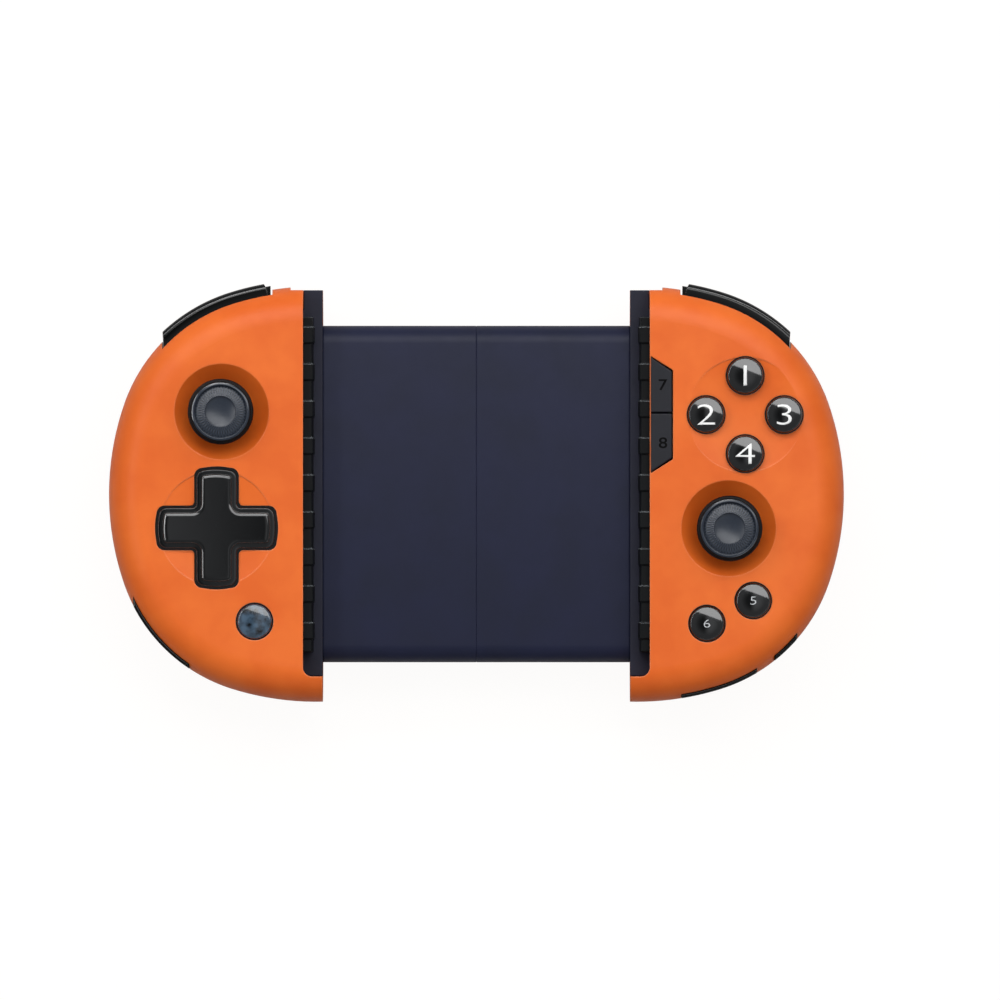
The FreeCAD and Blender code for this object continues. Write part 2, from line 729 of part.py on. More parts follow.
bumper_window = fuse([
    lever_window(split_height - over_cut, bumper_high + bumper_gap, lever_room),
    lever_window(bumper_high, top_height, bumper_step)])

front_cavity = front_form(front_wall, -1 * shell_inner, split_height - over_cut)
inner_mouth = box(-1 * (shell_inner + over_cut), over_cut - inner_face,
                  -1 * (tongue_half + tongue_gap), tongue_half + tongue_gap,
                  split_height - over_cut, board_top)
left_front_cavity = cut(front_cavity, bosses + [pin_boss, well_bowl(
    -1 * stick_left_x, stick_left_y)])
left_recess = insert_band(over_cut, insert_deep, left_insert_out, left_insert_in,
                          insert_low, top_height)
finish(cut(front_blank, [
    left_front_cavity, clamp_seat, skin_cut, leg_cut, bumper_window, pin_hole, left_recess,
    inner_mouth,
    mirrored(dish_cut(dpad_x, dpad_y)),
    prism(cross_outline(dpad_span + dpad_room * 2, dpad_arm + dpad_room * 2, dpad_corner,
                        dpad_root, dpad_end_arc, -1 * dpad_x, dpad_y),
          split_height, top_height + over_cut),
    key_hole(-1 * home_x, home_y, small_radius)
    ] + pilots + well_cuts(-1 * stick_left_x, stick_left_y)), "left_front_shell")

key_places = {
    "button_north": (key_dish_x, key_dish_y + key_pitch),
    "button_east": (key_dish_x + key_pitch, key_dish_y),
    "button_south": (key_dish_x, key_dish_y - key_pitch),
    "button_west": (key_dish_x - key_pitch, key_dish_y)}
right_cavity = cut(mirrored(cut(front_cavity, bosses + [pin_boss])),
                   [well_bowl(stick_right_x, stick_right_y)])
side_recess = mirrored(insert_band(over_cut, insert_deep, side_insert_out, side_insert_in,
                                   insert_low, top_height))
port_recess = mirrored(insert_band(over_cut, insert_deep, port_insert_out, port_insert_in,
                                   insert_low, top_height))
port_hole = box(port_x - port_width / 2 - port_room, port_x + port_width / 2 + port_room,
                -1 * (half_tall + window_out), port_long - port_face,
                board_bottom - port_drop - port_tall - port_room, board_bottom)
side_key_well = prism(side_key_outline(side_key_gap, side_key_low, side_key_top,
                                       side_key_slant, side_key_slant),
                      split_height, top_height + over_cut)
side_key_pocket = box(
    skin_gap, side_key_out + side_key_lip + side_key_gap,
    side_key_low - side_key_lip - side_key_gap, side_key_top + side_key_lip + side_key_gap,
    side_key_base - side_key_travel - fit_gap, side_key_base + side_key_lip + side_key_gap)
finish(cut(mirrored(front_blank), [
    right_cavity, side_recess, port_recess, port_hole, side_key_well, side_key_pocket,
    mirrored(fuse([clamp_seat, skin_cut, leg_cut, bumper_window, pin_hole] + pilots)),
    mirrored(inner_mouth),
    dish_cut(key_dish_x, key_dish_y),
    key_hole(start_x, start_y, small_radius), key_hole(select_x, select_y, small_radius)
    ] + [key_hole(x, y, key_radius) for x, y in key_places.values()]
    + well_cuts(stick_right_x, stick_right_y)), "right_front_shell")


# Back shells: the palm side, with screw posts that carry the board and a mouth for the
# cradle's tongue in the inner wall.

back_blank = back_form(zero, -1 * inner_face, zero, split_height)
back_cavity = back_form(back_wall, -1 * (inner_face + back_wall), back_wall,
                        split_height + over_cut)
posts = [rod(x, y, zero, split_height + 2 * over_cut, post_radius) for x, y in post_places]
pin_seat = rod(-1 * pin_x, pin_y, zero, trigger_eye - trigger_gap, eye_radius)
post_tops = [rod(x, y, split_height - over_cut, board_bottom, post_radius)
             for x, y in post_places]
head_bores = [rod(x, y, -1 * over_cut, head_seat, head_radius + head_room)
              for x, y in post_places]
shank_bores = [rod(x, y, zero, board_top, shank_radius + shank_room) for x, y in post_places]
tongue_mouth = box(-1 * (inner_face + back_wall + over_cut), over_cut - inner_face,
                   -1 * (tongue_half + tongue_gap), tongue_half + tongue_gap,
                   tongue_bottom - tongue_gap, split_height + over_cut)
trigger_window = lever_window(trigger_low - trigger_gap, split_height + over_cut, lever_room)
back_solid = fuse([cut(back_blank, [cut(back_cavity, posts + [pin_seat])])] + post_tops)
back_cuts = fuse(head_bores + shank_bores + [tongue_mouth, trigger_window, pin_hole, leg_cut])
back_common = cut(back_solid, [back_cuts])
finish(cut(back_common, [left_recess]), "left_back_shell")
finish(cut(mirrored(back_common), [side_recess, port_recess, port_hole]), "right_back_shell")


# Phone clamps: an angle of moulded plastic on each grip's inner edge. Its foot carries the
# phone's edge, its wall carries the rubber pad, and its skirt closes the grip below.

left_clamp_body = start_body("clamp")
clamp_profile = sketch_in(left_clamp_body, "XZ_Plane", -1 * clamp_high, [[
    (-1 * inner_face, split_height), (-1 * inner_face, rest_height),
    (clamp_wall - clamp_back, rest_height), (clamp_wall - clamp_back, clamp_top),
    (-1 * clamp_back, clamp_top), (-1 * clamp_back, rest_height - clamp_wall),
    (-1 * (inner_face + clamp_wall), rest_height - clamp_wall),
    (-1 * (inner_face + clamp_wall), split_height)]])
pad(left_clamp_body, clamp_profile, clamp_high + clamp_low)
wall_cut = box(-1 * (clamp_back + over_cut), fit_gap - skin_edge, wall_end, half_tall,
               split_height - over_cut, top_height)
clamp_common = cut(left_clamp_body, [inner_mouth, wall_cut])
finish(clamp_common, "left_phone_clamp")
key_notch = box(side_key_notch, side_key_out, side_key_low - side_key_lip - side_key_gap,
                side_key_top + side_key_lip + side_key_gap,
                side_key_base - side_key_travel - fit_gap, top_height)
finish(cut(mirrored(clamp_common), [key_notch]), "right_phone_clamp")

# Grip pads: a rubber strip with nine blocks that press on the phone's short edge. The face
# of each block leans back, so that the phone is drawn down onto the clamp's foot.

pad_front = size("pad_front", 38.1, "from the seam to the foot of the pad's blocks")
pad_lean = size("pad_lean", 0.4, "how far the pad's face leans back")
pad_top = size("pad_top", 28.3, "height of the pad's top")
pad_web = size("pad_web", 0.3, "how far the blocks stand out of the strip")
block_rise = size("block_rise", 0.5, "how far the blocks stand above the strip")
pad_drop = size("pad_drop", 7.3, "from the grip's upper end down to the pad's")
pad_rise = size("pad_rise", 11.8, "from the grip's lower end up to the pad's")
pad_high = half_tall - pad_drop
pad_low = half_tall - pad_rise
block_long = size("block_long", 3.8, "length of a pad's block along Y")
block_pitch = size("block_pitch", 8.71, "pitch of the pad's blocks")
block_start = size("block_start", 3.1, "from the pad's lower end to its first block")
block_first = pad_low - block_start
block_count = size("block_count", 9, "number of blocks on a pad")
pad_back = clamp_back - clamp_wall
grip_pad = start_body("grip_pad")
strip = sketch_in(grip_pad, "XZ_Plane", -1 * pad_high, [[
    (-1 * pad_back, rest_height), (-1 * (pad_front + pad_web), rest_height),
    (-1 * (pad_front + pad_web + pad_lean), pad_top - block_rise),
    (-1 * pad_back, pad_top - block_rise)]])
pad(grip_pad, strip, pad_high + pad_low)
block = sketch_in(grip_pad, "XZ_Plane", block_first - block_long, [[
    (-1 * pad_back, rest_height), (-1 * pad_front, rest_height),
    (-1 * (pad_front + pad_lean), pad_top), (-1 * pad_back, pad_top)]])
first_block = pad(grip_pad, block, block_long)
blocks = grip_pad.newObject("PartDesign::LinearPattern", "blocks")
blocks.Originals = [first_block]
blocks.Direction = ([f for f in grip_pad.Origin.OriginFeatures if f.Role == "Y_Axis"][0], [""])
bind(blocks, "Length", block_pitch * (block_count - 1))
bind(blocks, "Occurrences", block_count)
grip_pad.Tip = blocks
finish(grip_pad, "left_grip_pad")
finish(mirrored(grip_pad), "right_grip_pad")

# Levers: bumper and trigger are bands that follow the outline, each with an arm and an eye
# on the shared pin. A torsion spring on the pin pushes both outwards.


def lever(band, low, high, bottom):
    """Joins a lever's band to an arm and an eye, and bores the eye."""
    arm = box(-1 * (pin_x + arm_long), -1 * pin_x, pin_y - arm_thick / 2, pin_y + arm_thick / 2,
              bottom, low)
    eye = rod(-1 * pin_x, pin_y, bottom, low, eye_radius)
    bore = rod(-1 * pin_x, pin_y, bottom - over_cut, high + over_cut, pin_radius + pin_room)
    return cut(fuse([band, arm, eye]), [bore])


lean_top = half_tall + window_out
inner_level = end_level(lever_near) - bumper_step
inner_end = prism([
    (-1 * lever_near, inner_level), (over_cut - lever_near, inner_level),
    (over_cut - lever_near, lean_top),
    (-1 * lever_near - bumper_lean * (lean_top - inner_level), lean_top)],
    bumper_low - over_cut, bumper_high + over_cut)
tip_level = corner_level(lever_far)
tip_top = tip_level + window_out
tip_cut = prism([
    (-1 * lever_far, tip_level - window_out * 2), (-1 * lever_far, tip_level),
    (-1 * lever_far - tip_lean * window_out, tip_top),
    (-1 * (lever_far + window_out), tip_top),
    (-1 * (lever_far + window_out), tip_level - window_out * 2)],
    bumper_low - over_cut, bumper_high + over_cut)
bumper_band = cut(
    rim(bumper_out, bumper_deep, -1 * (lever_far + over_cut), -1 * lever_near, zero,
        lean_top, bumper_low, bumper_high), [inner_end, tip_cut])
left_bumper = finish(lever(bumper_band, eye_high, bumper_high, bumper_low), "left_bumper")
finish(mirrored(left_bumper), "right_bumper")
trigger_form = back_form(-1 * trigger_out, -1 * inner_face, trigger_base, split_height)
trigger_band = common(trigger_form, rim(
    window_out, trigger_deep, -1 * lever_far, -1 * lever_near, zero, half_tall + window_out,
    trigger_low, trigger_high))
left_trigger = finish(lever(trigger_band, trigger_high, trigger_high, trigger_eye),
                      "left_trigger")
finish(mirrored(left_trigger), "right_trigger")
left_pin = finish(rod(-1 * pin_x, pin_y, pin_low, pin_high, pin_radius), "left_hinge_pin")
finish(mirrored(left_pin), "right_hinge_pin")

spring_wire = size("spring_wire", 0.5, "wire of the levers' torsion spring")
spring_turns = size("spring_turns", 3, "turns of the torsion spring")
spring_leg = size("spring_leg", 8, "length of the torsion spring's legs")
spring_low = eye_high + fit_gap
spring_high = spring_low + spring_wire * spring_turns
spring_in = pin_radius + 2 * pin_room
spring_out = spring_in + spring_wire
coil = cut(rod(-1 * pin_x, pin_y, spring_low, spring_high, spring_out),
           [rod(-1 * pin_x, pin_y, zero, top_height, spring_in)])
leg = box(-1 * (pin_x + spring_leg), -1 * pin_x, pin_y - spring_out,
          pin_y - spring_in, spring_low, spring_low + spring_wire)
left_spring = finish(fuse([coil, leg]), "left_lever_spring")
finish(mirrored(left_spring), "right_lever_spring")

# Boards, screws and rubber mats. The mats are silicone sheets with a low dome below each
# key, and the left one has a post that the directional pad rocks on.

board_gap = size("board_gap", 0.85, "gap between a board and the grip's inner wall")
board_inner = shell_inner + board_gap
mat_thick = size("mat_thick", 0.6, "thickness of the rubber mats")
dome_high = size("dome_high", 0.4, "height of the domes on the mats")
dome_radius = size("dome_radius", 2.2, "radius of the domes on the mats")
mat_top = board_top + mat_thick
dome_top = mat_top + dome_high
board_blank = prism(grip_outline(board_inset, -1 * board_inner), board_bottom, board_top)
board_holes = [rod(x, y, board_bottom - over_cut, board_top + over_cut,
                   shank_radius + shank_room) for x, y in post_places]
board_notch = rod(-1 * pin_x, pin_y, board_bottom - over_cut, board_top + over_cut,
                  eye_radius + lever_gap)
left_board = finish(cut(board_blank, board_holes + [board_notch]), "left_circuit_board")
finish(mirrored(left_board), "right_circuit_board")

screws = []
for x, y in post_places:
    screw_head = rod(x, y, head_seat - head_height, head_seat, head_radius)
    shank = rod(x, y, head_seat, shank_end, shank_radius)
    slots = [box(x - head_radius, x + head_radius, y - slot_width / 2, y + slot_width / 2,
                 head_seat - head_height, head_seat - head_height + slot_deep),
             box(x - slot_width / 2, x + slot_width / 2, y - head_radius, y + head_radius,
                 head_seat - head_height, head_seat - head_height + slot_deep)]
    screws.append(cut(fuse([screw_head, shank]), slots))
left_screws = finish(group(screws), "left_screws")
finish(mirrored(left_screws), "right_screws")

post_thin = size("post_thin", 1.6, "radius of the post below the directional pad")
rock_height = size("rock_height", 25.4, "height about which the directional pad rocks")
rocker_radius = size("rocker_radius", 2.6, "radius of the rocking disc")
rocker_thick = size("rocker_thick", 0.7, "thickness of the rocking disc")
rock_gap = size("rock_gap", 0.2, "gap between the post and the rocking disc at rest")
mat_radius = size("mat_radius", 12, "radius of a mat below a group of keys")
mat_link = size("mat_link", 6, "width of the strip that joins a mat's discs")
dome_place = size("dome_place", 9.07, "from the directional pad's centre to its domes")
dpad_domes = [rod(dx * dome_place - dpad_x, dpad_y + dy * dome_place, board_top, dome_top,
                  dome_radius) for dx, dy in [(1, 0), (0, 1), (-1, 0), (0, -1)]]
rock_post = rod(-1 * dpad_x, dpad_y, board_top, rock_height - rocker_thick / 2 - rock_gap,
                post_thin)
finish(fuse(dpad_domes + [
    rock_post,
    rod(-1 * dpad_x, dpad_y, board_top, mat_top, mat_radius),
    rod(-1 * home_x, home_y, board_top, mat_top, mat_link),
    rod(-1 * home_x, home_y, board_top, dome_top, dome_radius),
    box(-1 * home_x - mat_link / 2, mat_link / 2 - home_x, home_y, dpad_y, board_top, mat_top)
    ]), "left_button_mat")
small_keys = {"start_button": (start_x, start_y), "select_button": (select_x, select_y)}
right_domes = [rod(x, y, board_top, dome_top, dome_radius)
               for x, y in list(key_places.values()) + list(small_keys.values())]
finish(group([
    fuse(right_domes[:4] + [rod(key_dish_x, key_dish_y, board_top, mat_top, mat_radius)]),
    fuse(right_domes[4:] + [
        rod(start_x, start_y, board_top, mat_top, mat_link),
        rod(select_x, select_y, board_top, mat_top, mat_link)])]), "right_button_mat")

# Directional pad: a gloss cross with bevelled arms. It rocks on a small disc, which rocks
# the other way on the mat's post, so that each arm can go down.

dpad_base = size("dpad_base", 22.9, "height of the directional pad's underside")
dpad_flange = size("dpad_flange", 0.8, "thickness of the directional pad's flange")
dpad_lip = size("dpad_lip", 1, "how far the flange reaches past the cross")
dpad_edge = size("dpad_edge", 29.4, "height where the bevel starts")
dpad_crown = size("dpad_crown", 30.9, "height of the directional pad's top")
bevel_long = size("bevel_long", 1.4, "how far the bevel goes in at the arms' ends")
bevel_side = size("bevel_side", 1.55, "how far the bevel goes in beside the arms")
socket_room = size("socket_room", 0.4, "room round the rocking disc")
socket_roof = size("socket_roof", 0.3, "gap above the rocking disc")


def dpad_outline(grow_end, grow_side):
    """Gives the cross, grown at the arms' ends and sides."""
    return cross_outline(dpad_span + grow_end * 2, dpad_arm + grow_side * 2,
                         dpad_corner + grow_side, dpad_root, dpad_end_arc, zero, zero)


dpad = start_body("dpad")
flange_sketch = sketch_in(dpad, "XY_Plane", dpad_base, [dpad_outline(dpad_lip, dpad_lip)])
pad(dpad, flange_sketch, dpad_flange)
cross_sketch = sketch_in(dpad, "XY_Plane", dpad_base, [dpad_outline(zero, zero)])
pad(dpad, cross_sketch, dpad_edge - dpad_base)
bevel_foot = sketch_in(dpad, "XY_Plane", dpad_edge, [dpad_outline(zero, zero)])
bevel_head = sketch_in(dpad, "XY_Plane", dpad_crown, [
    dpad_outline(-1 * bevel_long, -1 * bevel_side)])
bevel = dpad.newObject("PartDesign::AdditiveLoft", "bevel")
bevel.Profile = bevel_foot
bevel.Sections = [bevel_head]
bevel.Ruled = True
dpad.Tip = bevel
socket_sketch = sketch_in(dpad, "XY_Plane", dpad_base, [])
draw_circle(socket_sketch, zero, zero, rocker_radius + socket_room)
pocket(dpad, socket_sketch, rock_height + rocker_thick / 2 + socket_roof - dpad_base,
       reverse=True)
place(dpad, -1 * dpad_x, dpad_y, zero)
finish(dpad, "dpad")
finish(rod(-1 * dpad_x, dpad_y, rock_height - rocker_thick / 2, rock_height + rocker_thick / 2,
           rocker_radius), "dpad_rocker")

# Round keys: turned forms with a flange below the shell and a shallow dome on top. The stem
# ends above the mat's dome by the key's travel.

key_travel = size("key_travel", 1.2, "travel of a round key")
key_stem = size("key_stem", 1.6, "radius of a round key's stem")
key_flange = size("key_flange", 0.6, "how far a round key's flange reaches past its hole")
flange_high = size("flange_high", 26.4, "height of the top of a round key's flange")
flange_thick = size("flange_thick", 0.8, "thickness of a round key's flange")
key_rim = size("key_rim", 30.3, "height of the side of a face button")
key_crown = size("key_crown", 31.3, "height of the top of a face button")
key_round = size("key_round", 0.6, "rounding of a round key's edge")
key_dome = size("key_dome", 16, "radius of a round key's dome")
small_rim = size("small_rim", 29.6, "height of the side of a small round key")
small_crown = size("small_crown", 30.5, "height of the top of a small round key")


def round_key(name, x, y, radius, rim_height, crown_height):
    """Makes a round key: stem, flange, shaft, rounded edge and dome."""
    stem_low = dome_top + key_travel + fit_gap
    edge_z = crown_height - key_dome + sqrt(
        key_dome * key_dome - (radius - key_round) * (radius - key_round))
    key = turn_body("key", [
        (zero, stem_low), (key_stem, stem_low), (key_stem, flange_high - flange_thick),
        (radius + key_flange, flange_high - flange_thick), (radius + key_flange, flange_high),
        (radius, flange_high), (radius, rim_height), (radius - key_round, edge_z, key_dome, 1),
        (zero, crown_height)])
    place(key, x, y, zero)
    return finish(key, name)


for name, (x, y) in key_places.items():
    round_key(name, x, y, key_radius, key_rim, key_crown)
for name, (x, y) in small_keys.items():
    round_key(name, x, y, small_radius, small_rim, small_crown)
round_key("home_button", -1 * home_x, home_y, small_radius, small_rim, small_crown)

for name, low, high, low_slant, high_slant in [
        ("upper_side_button", side_key_split + side_key_gap / 2, side_key_top, zero,
         side_key_slant),
        ("lower_side_button", side_key_low, side_key_split - side_key_gap / 2,
         side_key_slant, zero)]:
    stem = prism(side_key_outline(zero, low, high, low_slant, high_slant),
                 side_key_base, side_key_crown)
    lip = prism([(side_key_in, low), (side_key_out + side_key_lip, low + low_slant),
                 (side_key_out + side_key_lip, high - high_slant), (side_key_in, high)],
                side_key_base, side_key_base + side_key_lip)
    finish(fuse([stem, lip]), name)

# Sticks: a housing on the board holds a ring on two trunnions along X, the ring holds a
# block on two trunnions along Y, and the shaft with its cap slides in the block to click.

tilt_height = size("tilt_height", 22.8, "height about which the sticks tilt")
housing_half = size("housing_half", 4.15, "half width of a stick's housing")
housing_wall = size("housing_wall", 0.8, "wall of a stick's housing")
housing_floor = size("housing_floor", 0.4, "floor of a stick's housing")
housing_top = size("housing_top", 24.3, "height of a stick's housing")
trunnion = size("trunnion", 0.4, "radius of the trunnions")
trunnion_room = size("trunnion_room", 0.05, "running gap round trunnions and shaft")
ring_out = size("ring_out", 3.1, "outer radius of the ring")
ring_in = size("ring_in", 2.3, "inner radius of the ring")
ring_thick = size("ring_thick", 1.2, "thickness of the ring")
block_radius = size("block_radius", 1.7, "radius of the block")
block_thick = size("block_thick", 1.8, "thickness of the block")
shaft_radius = size("shaft_radius", 0.9, "radius of a stick's shaft")
shaft_low = size("shaft_low", 21.6, "height of the shaft's lower end")
shaft_high = size("shaft_high", 31.5, "height of the shaft's upper end")
skirt_out = size("skirt_out", 7.3, "outer radius of the cap's ball skirt")
skirt_wall = size("skirt_wall", 1, "wall of the cap's ball skirt")
skirt_angle = size("skirt_angle", 75, "how far the skirt reaches down, in degrees")
hub_radius = size("hub_radius", 2, "radius of the hub inside the cap")
hub_low = size("hub_low", 27.2, "height of the hub's lower end")
neck_radius = size("neck_radius", 3.2, "radius of the cap's neck")
neck_high = size("neck_high", 30.6, "height of the neck's upper end")
cap_radius = size("cap_radius", 7.75, "radius of the cap")
cap_foot = size("cap_foot", 6.75, "radius of the cap's underside")
cap_low = size("cap_low", 31.5, "height of the cap's underside at its rim")
cap_side = size("cap_side", 32.6, "height where the cap's side starts")
cap_high = size("cap_high", 34.3, "height where the cap's side ends")
cap_ring = size("cap_ring", 6.6, "radius of the cap's highest ring")
cap_top = size("cap_top", 35.3, "height of the cap's highest ring")
cap_dish = size("cap_dish", 0.8, "depth of the hollow in the cap's top")
cap_dish_arc = size("cap_dish_arc", 28, "radius of the hollow in the cap's top")
cap_edge_arc = size("cap_edge_arc", 1.5, "rounding of the cap's upper edge")


def stick(side, x, y):
    """Makes the five pieces of a stick that stands at x, y."""
    housing = box(x - housing_half, x + housing_half, y - housing_half, y + housing_half,
                  board_top, housing_top)
    inside = housing_half - housing_wall
    hollow = box(x - inside, x + inside, y - inside, y + inside, board_top + housing_floor,
                 housing_top + over_cut)
    bearing = rod_x(x - housing_half - over_cut, x + housing_half + over_cut, y, tilt_height,
                    trunnion + trunnion_room)
    finish(cut(housing, [hollow, bearing]), f"{side}_stick_housing")

    ring = rod(x, y, tilt_height - ring_thick / 2, tilt_height + ring_thick / 2, ring_out)
    ring_reach = housing_half - 2 * fit_gap
    ring_axle = rod_x(x - ring_reach, x + ring_reach, y, tilt_height, trunnion)
    ring_bore = rod(x, y, board_top, housing_top, ring_in)
    ring_bearing = rod_y(x, y - ring_out - over_cut, y + ring_out + over_cut, tilt_height,
                         trunnion + trunnion_room)
    finish(cut(fuse([ring, ring_axle]), [ring_bore, ring_bearing]), f"{side}_stick_ring")

    barrel = rod(x, y, tilt_height - block_thick / 2, tilt_height + block_thick / 2,
                 block_radius)
    block_reach = ring_out - fit_gap
    block_axle = rod_y(x, y - block_reach, y + block_reach, tilt_height, trunnion)
    block_bore = rod(x, y, board_top, housing_top, shaft_radius + trunnion_room)
    finish(cut(fuse([barrel, block_axle]), [block_bore]), f"{side}_stick_block")
    finish(rod(x, y, shaft_low, shaft_high, shaft_radius), f"{side}_stick_shaft")

    skirt_in = skirt_out - skirt_wall
    hub_roof = tilt_height + sqrt(skirt_in * skirt_in - hub_radius * hub_radius)
    neck_low = tilt_height + sqrt(skirt_out * skirt_out - neck_radius * neck_radius)
    cap = turn_body("stick_cap", [
        (skirt_in * sin(skirt_angle), tilt_height + skirt_in * cos(skirt_angle)),
        (skirt_out * sin(skirt_angle), tilt_height + skirt_out * cos(skirt_angle),
         skirt_out, 1),
        (neck_radius, neck_low), (neck_radius, neck_high), (cap_foot, cap_low),
        (cap_radius, cap_side), (cap_radius, cap_high, cap_edge_arc, 1),
        (cap_ring, cap_top, cap_dish_arc, -1), (zero, cap_top - cap_dish),
        (zero, shaft_high), (shaft_radius, shaft_high), (shaft_radius, hub_low),
        (hub_radius, hub_low), (hub_radius, hub_roof, skirt_in, -1)])
    place(cap, x, y, zero)
    finish(cap, f"{side}_stick_cap")


stick("left", -1 * stick_left_x, stick_left_y)
stick("right", stick_right_x, stick_right_y)

# Inserts of gloss plastic, the charging socket and the battery.

finish(insert_band(zero, insert_deep - fit_gap, left_insert_out - fit_gap,
                   left_insert_in + fit_gap, insert_low + fit_gap, insert_high),
       "left_side_insert")
finish(mirrored(insert_band(zero, insert_deep - fit_gap, side_insert_out - fit_gap,
                            side_insert_in + fit_gap, insert_low + fit_gap, insert_high)),
       "right_side_insert")
finish(cut(mirrored(insert_band(zero, insert_deep - fit_gap, port_insert_out - fit_gap,
                                port_insert_in + fit_gap, insert_low + fit_gap, insert_high)),
           [port_hole]), "right_port_insert")
socket_top = board_bottom - port_drop
socket_low = socket_top - port_tall
socket_mid = (socket_low + socket_top) / 2
socket_back = port_long - port_face
finish(fuse([
    cut(box(port_x - port_width / 2, port_x + port_width / 2, -1 * port_face, socket_back,
            socket_low, socket_top),
        [box(port_x - port_width / 2 + port_sheet, port_x + port_width / 2 - port_sheet,
             -1 * port_face - over_cut, socket_back - over_cut,
             socket_low + port_sheet, socket_top - port_sheet)]),
    box(port_x - leaf_half, port_x + leaf_half, leaf_short - port_face,
        socket_back - port_sheet, socket_mid - leaf_thick / 2, socket_mid + leaf_thick / 2)
    ]), "usb_socket")

cell_in = size("cell_in", 41, "from the seam to the battery")
cell_out = size("cell_out", 65, "from the seam to the battery's outer side")
cell_half = size("cell_half", 27, "half length of the battery along Y")
cell_top = size("cell_top", 9.4, "height of the battery's top")
cell_round = size("cell_round", 1.5, "rounding of the battery's long edges")
battery = start_body("battery")
pad(battery, sketch_in(battery, "XY_Plane", back_wall, [[
    (-1 * cell_out, -1 * cell_half), (-1 * cell_in, -1 * cell_half),
    (-1 * cell_in, cell_half), (-1 * cell_out, cell_half)]]), cell_top - back_wall)
round_edges(battery, cell_round, lambda edge: edge.BoundBox.YLength > value_of(cell_half))
finish(battery, "battery")

# Cradle: each half is a plate and a back cover that run from the seam into the grip as a
# hollow tongue, closed at its end. The carrier slides inside both halves.

plate_in = size("plate_in", 36, "from the seam to the end of the wide plate")
seam_gap = size("seam_gap", 0.05, "from the seam plane to each half")
cover_skin = size("cover_skin", 1.2, "skin below the cradle's cavity")
plate_skin = size("plate_skin", 1.6, "skin above the cradle's cavity")
cavity_side = size("cavity_side", 2.7, "wall beside the cavity inside the tongue")
cavity_half = tongue_half - cavity_side
tongue_end = size("tongue_end", 1.6, "wall that closes the tongue's end")
cavity_low = plate_bottom + cover_skin + (tongue_bottom - plate_bottom)
cavity_high = plate_top - plate_skin
cavity_end = tongue_reach - tongue_end
cradle_cavity = box(-1 * cavity_end, zero + over_cut, -1 * cavity_half, cavity_half,
                    cavity_low, cavity_high)


def cradle_shell(low, high, tongue_low, tongue_high, rounded):
    """Makes one shell of the left cradle half, with its long outer edges rounded."""
    wide = start_body("cradle")
    pad(wide, sketch_in(wide, "XY_Plane", low, [[
        (-1 * plate_in, -1 * plate_half), (-1 * seam_gap, -1 * plate_half),
        (-1 * seam_gap, plate_half), (-1 * plate_in, plate_half)]]), high - low)
    level = value_of(rounded)
    round_edges(wide, plate_round, lambda edge: (
        edge.BoundBox.XLength > 1 and abs(edge.BoundBox.ZMin - level) < 1e-3
        and edge.BoundBox.ZLength < 1e-3))
    tongue = box(-1 * tongue_reach, over_cut - plate_in, -1 * tongue_half, tongue_half,
                 tongue_low, tongue_high)
    return cut(fuse([wide, tongue]), [cradle_cavity])


left_plate = finish(cradle_shell(plate_split, plate_top, plate_split, tongue_top, plate_top),
                    "left_cradle_plate")
finish(mirrored(left_plate), "right_cradle_plate")
hook_x = size("hook_x", 60.2, "from the seam to the springs' hook posts")
hook_y = size("hook_y", 20, "the springs' hook posts along Y")
hook_radius = size("hook_radius", 1, "radius of the springs' hook posts")
hook_posts = [rod(-1 * hook_x, side * hook_y, cavity_low, cavity_high, hook_radius)
              for side in (-1, 1)]
left_cover = finish(fuse([cradle_shell(plate_bottom, plate_split, tongue_bottom, plate_split,
                                       plate_bottom)] + hook_posts), "left_cradle_back")
finish(mirrored(left_cover), "right_cradle_back")

# Carrier: a flat box that slides in both halves. A pinion on its post meshes with the two
# racks, so that the halves always move apart by the same distance.

carrier_reach = size("carrier_reach", 56, "half length of the carrier")
carrier_gap = size("carrier_gap", 0.3, "gap round the carrier")
carrier_half = cavity_half - carrier_gap
tray_floor = size("tray_floor", 1.2, "floor of the carrier's tray")
tray_wall = size("tray_wall", 1.6, "wall of the carrier's tray")
cover_thick = size("cover_thick", 1, "thickness of the carrier's cover")
tray_low = cavity_low + carrier_gap
tray_inside = tray_low + tray_floor
cover_low = cavity_high - carrier_gap - cover_thick
gear_module = size("gear_module", 1, "module of the pinion and the racks")
tooth_count = size("tooth_count", 12, "teeth on the pinion")
tooth_high = size("tooth_high", 0.8, "tooth above the pitch line, in modules")
tooth_deep = size("tooth_deep", 1, "tooth below the pitch line, in modules")
tooth_angle = size("tooth_angle", 25, "pressure angle in degrees")
backlash = size("backlash", 0.3, "play between teeth")
flank_arc = size("flank_arc", 3, "radius of the pinion's flanks")
gear_gap = size("gear_gap", 0.3, "gap above and below the gears")
axle_radius = size("axle_radius", 1.5, "radius of the pinion's post")
axle_room = size("axle_room", 0.05, "running gap round the pinion's post")
rack_bar = size("rack_bar", 3, "width of a rack behind its teeth")
rack_end = size("rack_end", 50.4, "from the seam to a rack's free end")
rack_first = size("rack_first", 1.5, "pitches from the seam back to a rack's first tooth")
rack_teeth = size("rack_teeth", 18, "teeth on a rack")
rail_room = size("rail_room", 0.3, "gap beside a rack")
rail_thick = size("rail_thick", 1.2, "thickness of the rails that guide the racks")
foot_long = size("foot_long", 3.6, "length of a rack's foot")
foot_wide = size("foot_wide", 9, "width of a rack's foot")
pitch_radius = gear_module * tooth_count / 2
pitch = gear_module * math.pi
gear_low = tray_inside + gear_gap
gear_high = cover_low - gear_gap
tooth_half = pitch / 4 - backlash / 2
tip_half = tooth_half - gear_module * tooth_high * tan(tooth_angle)
root_half = tooth_half + gear_module * tooth_deep * tan(tooth_angle)
rack_back = pitch_radius + gear_module * tooth_deep
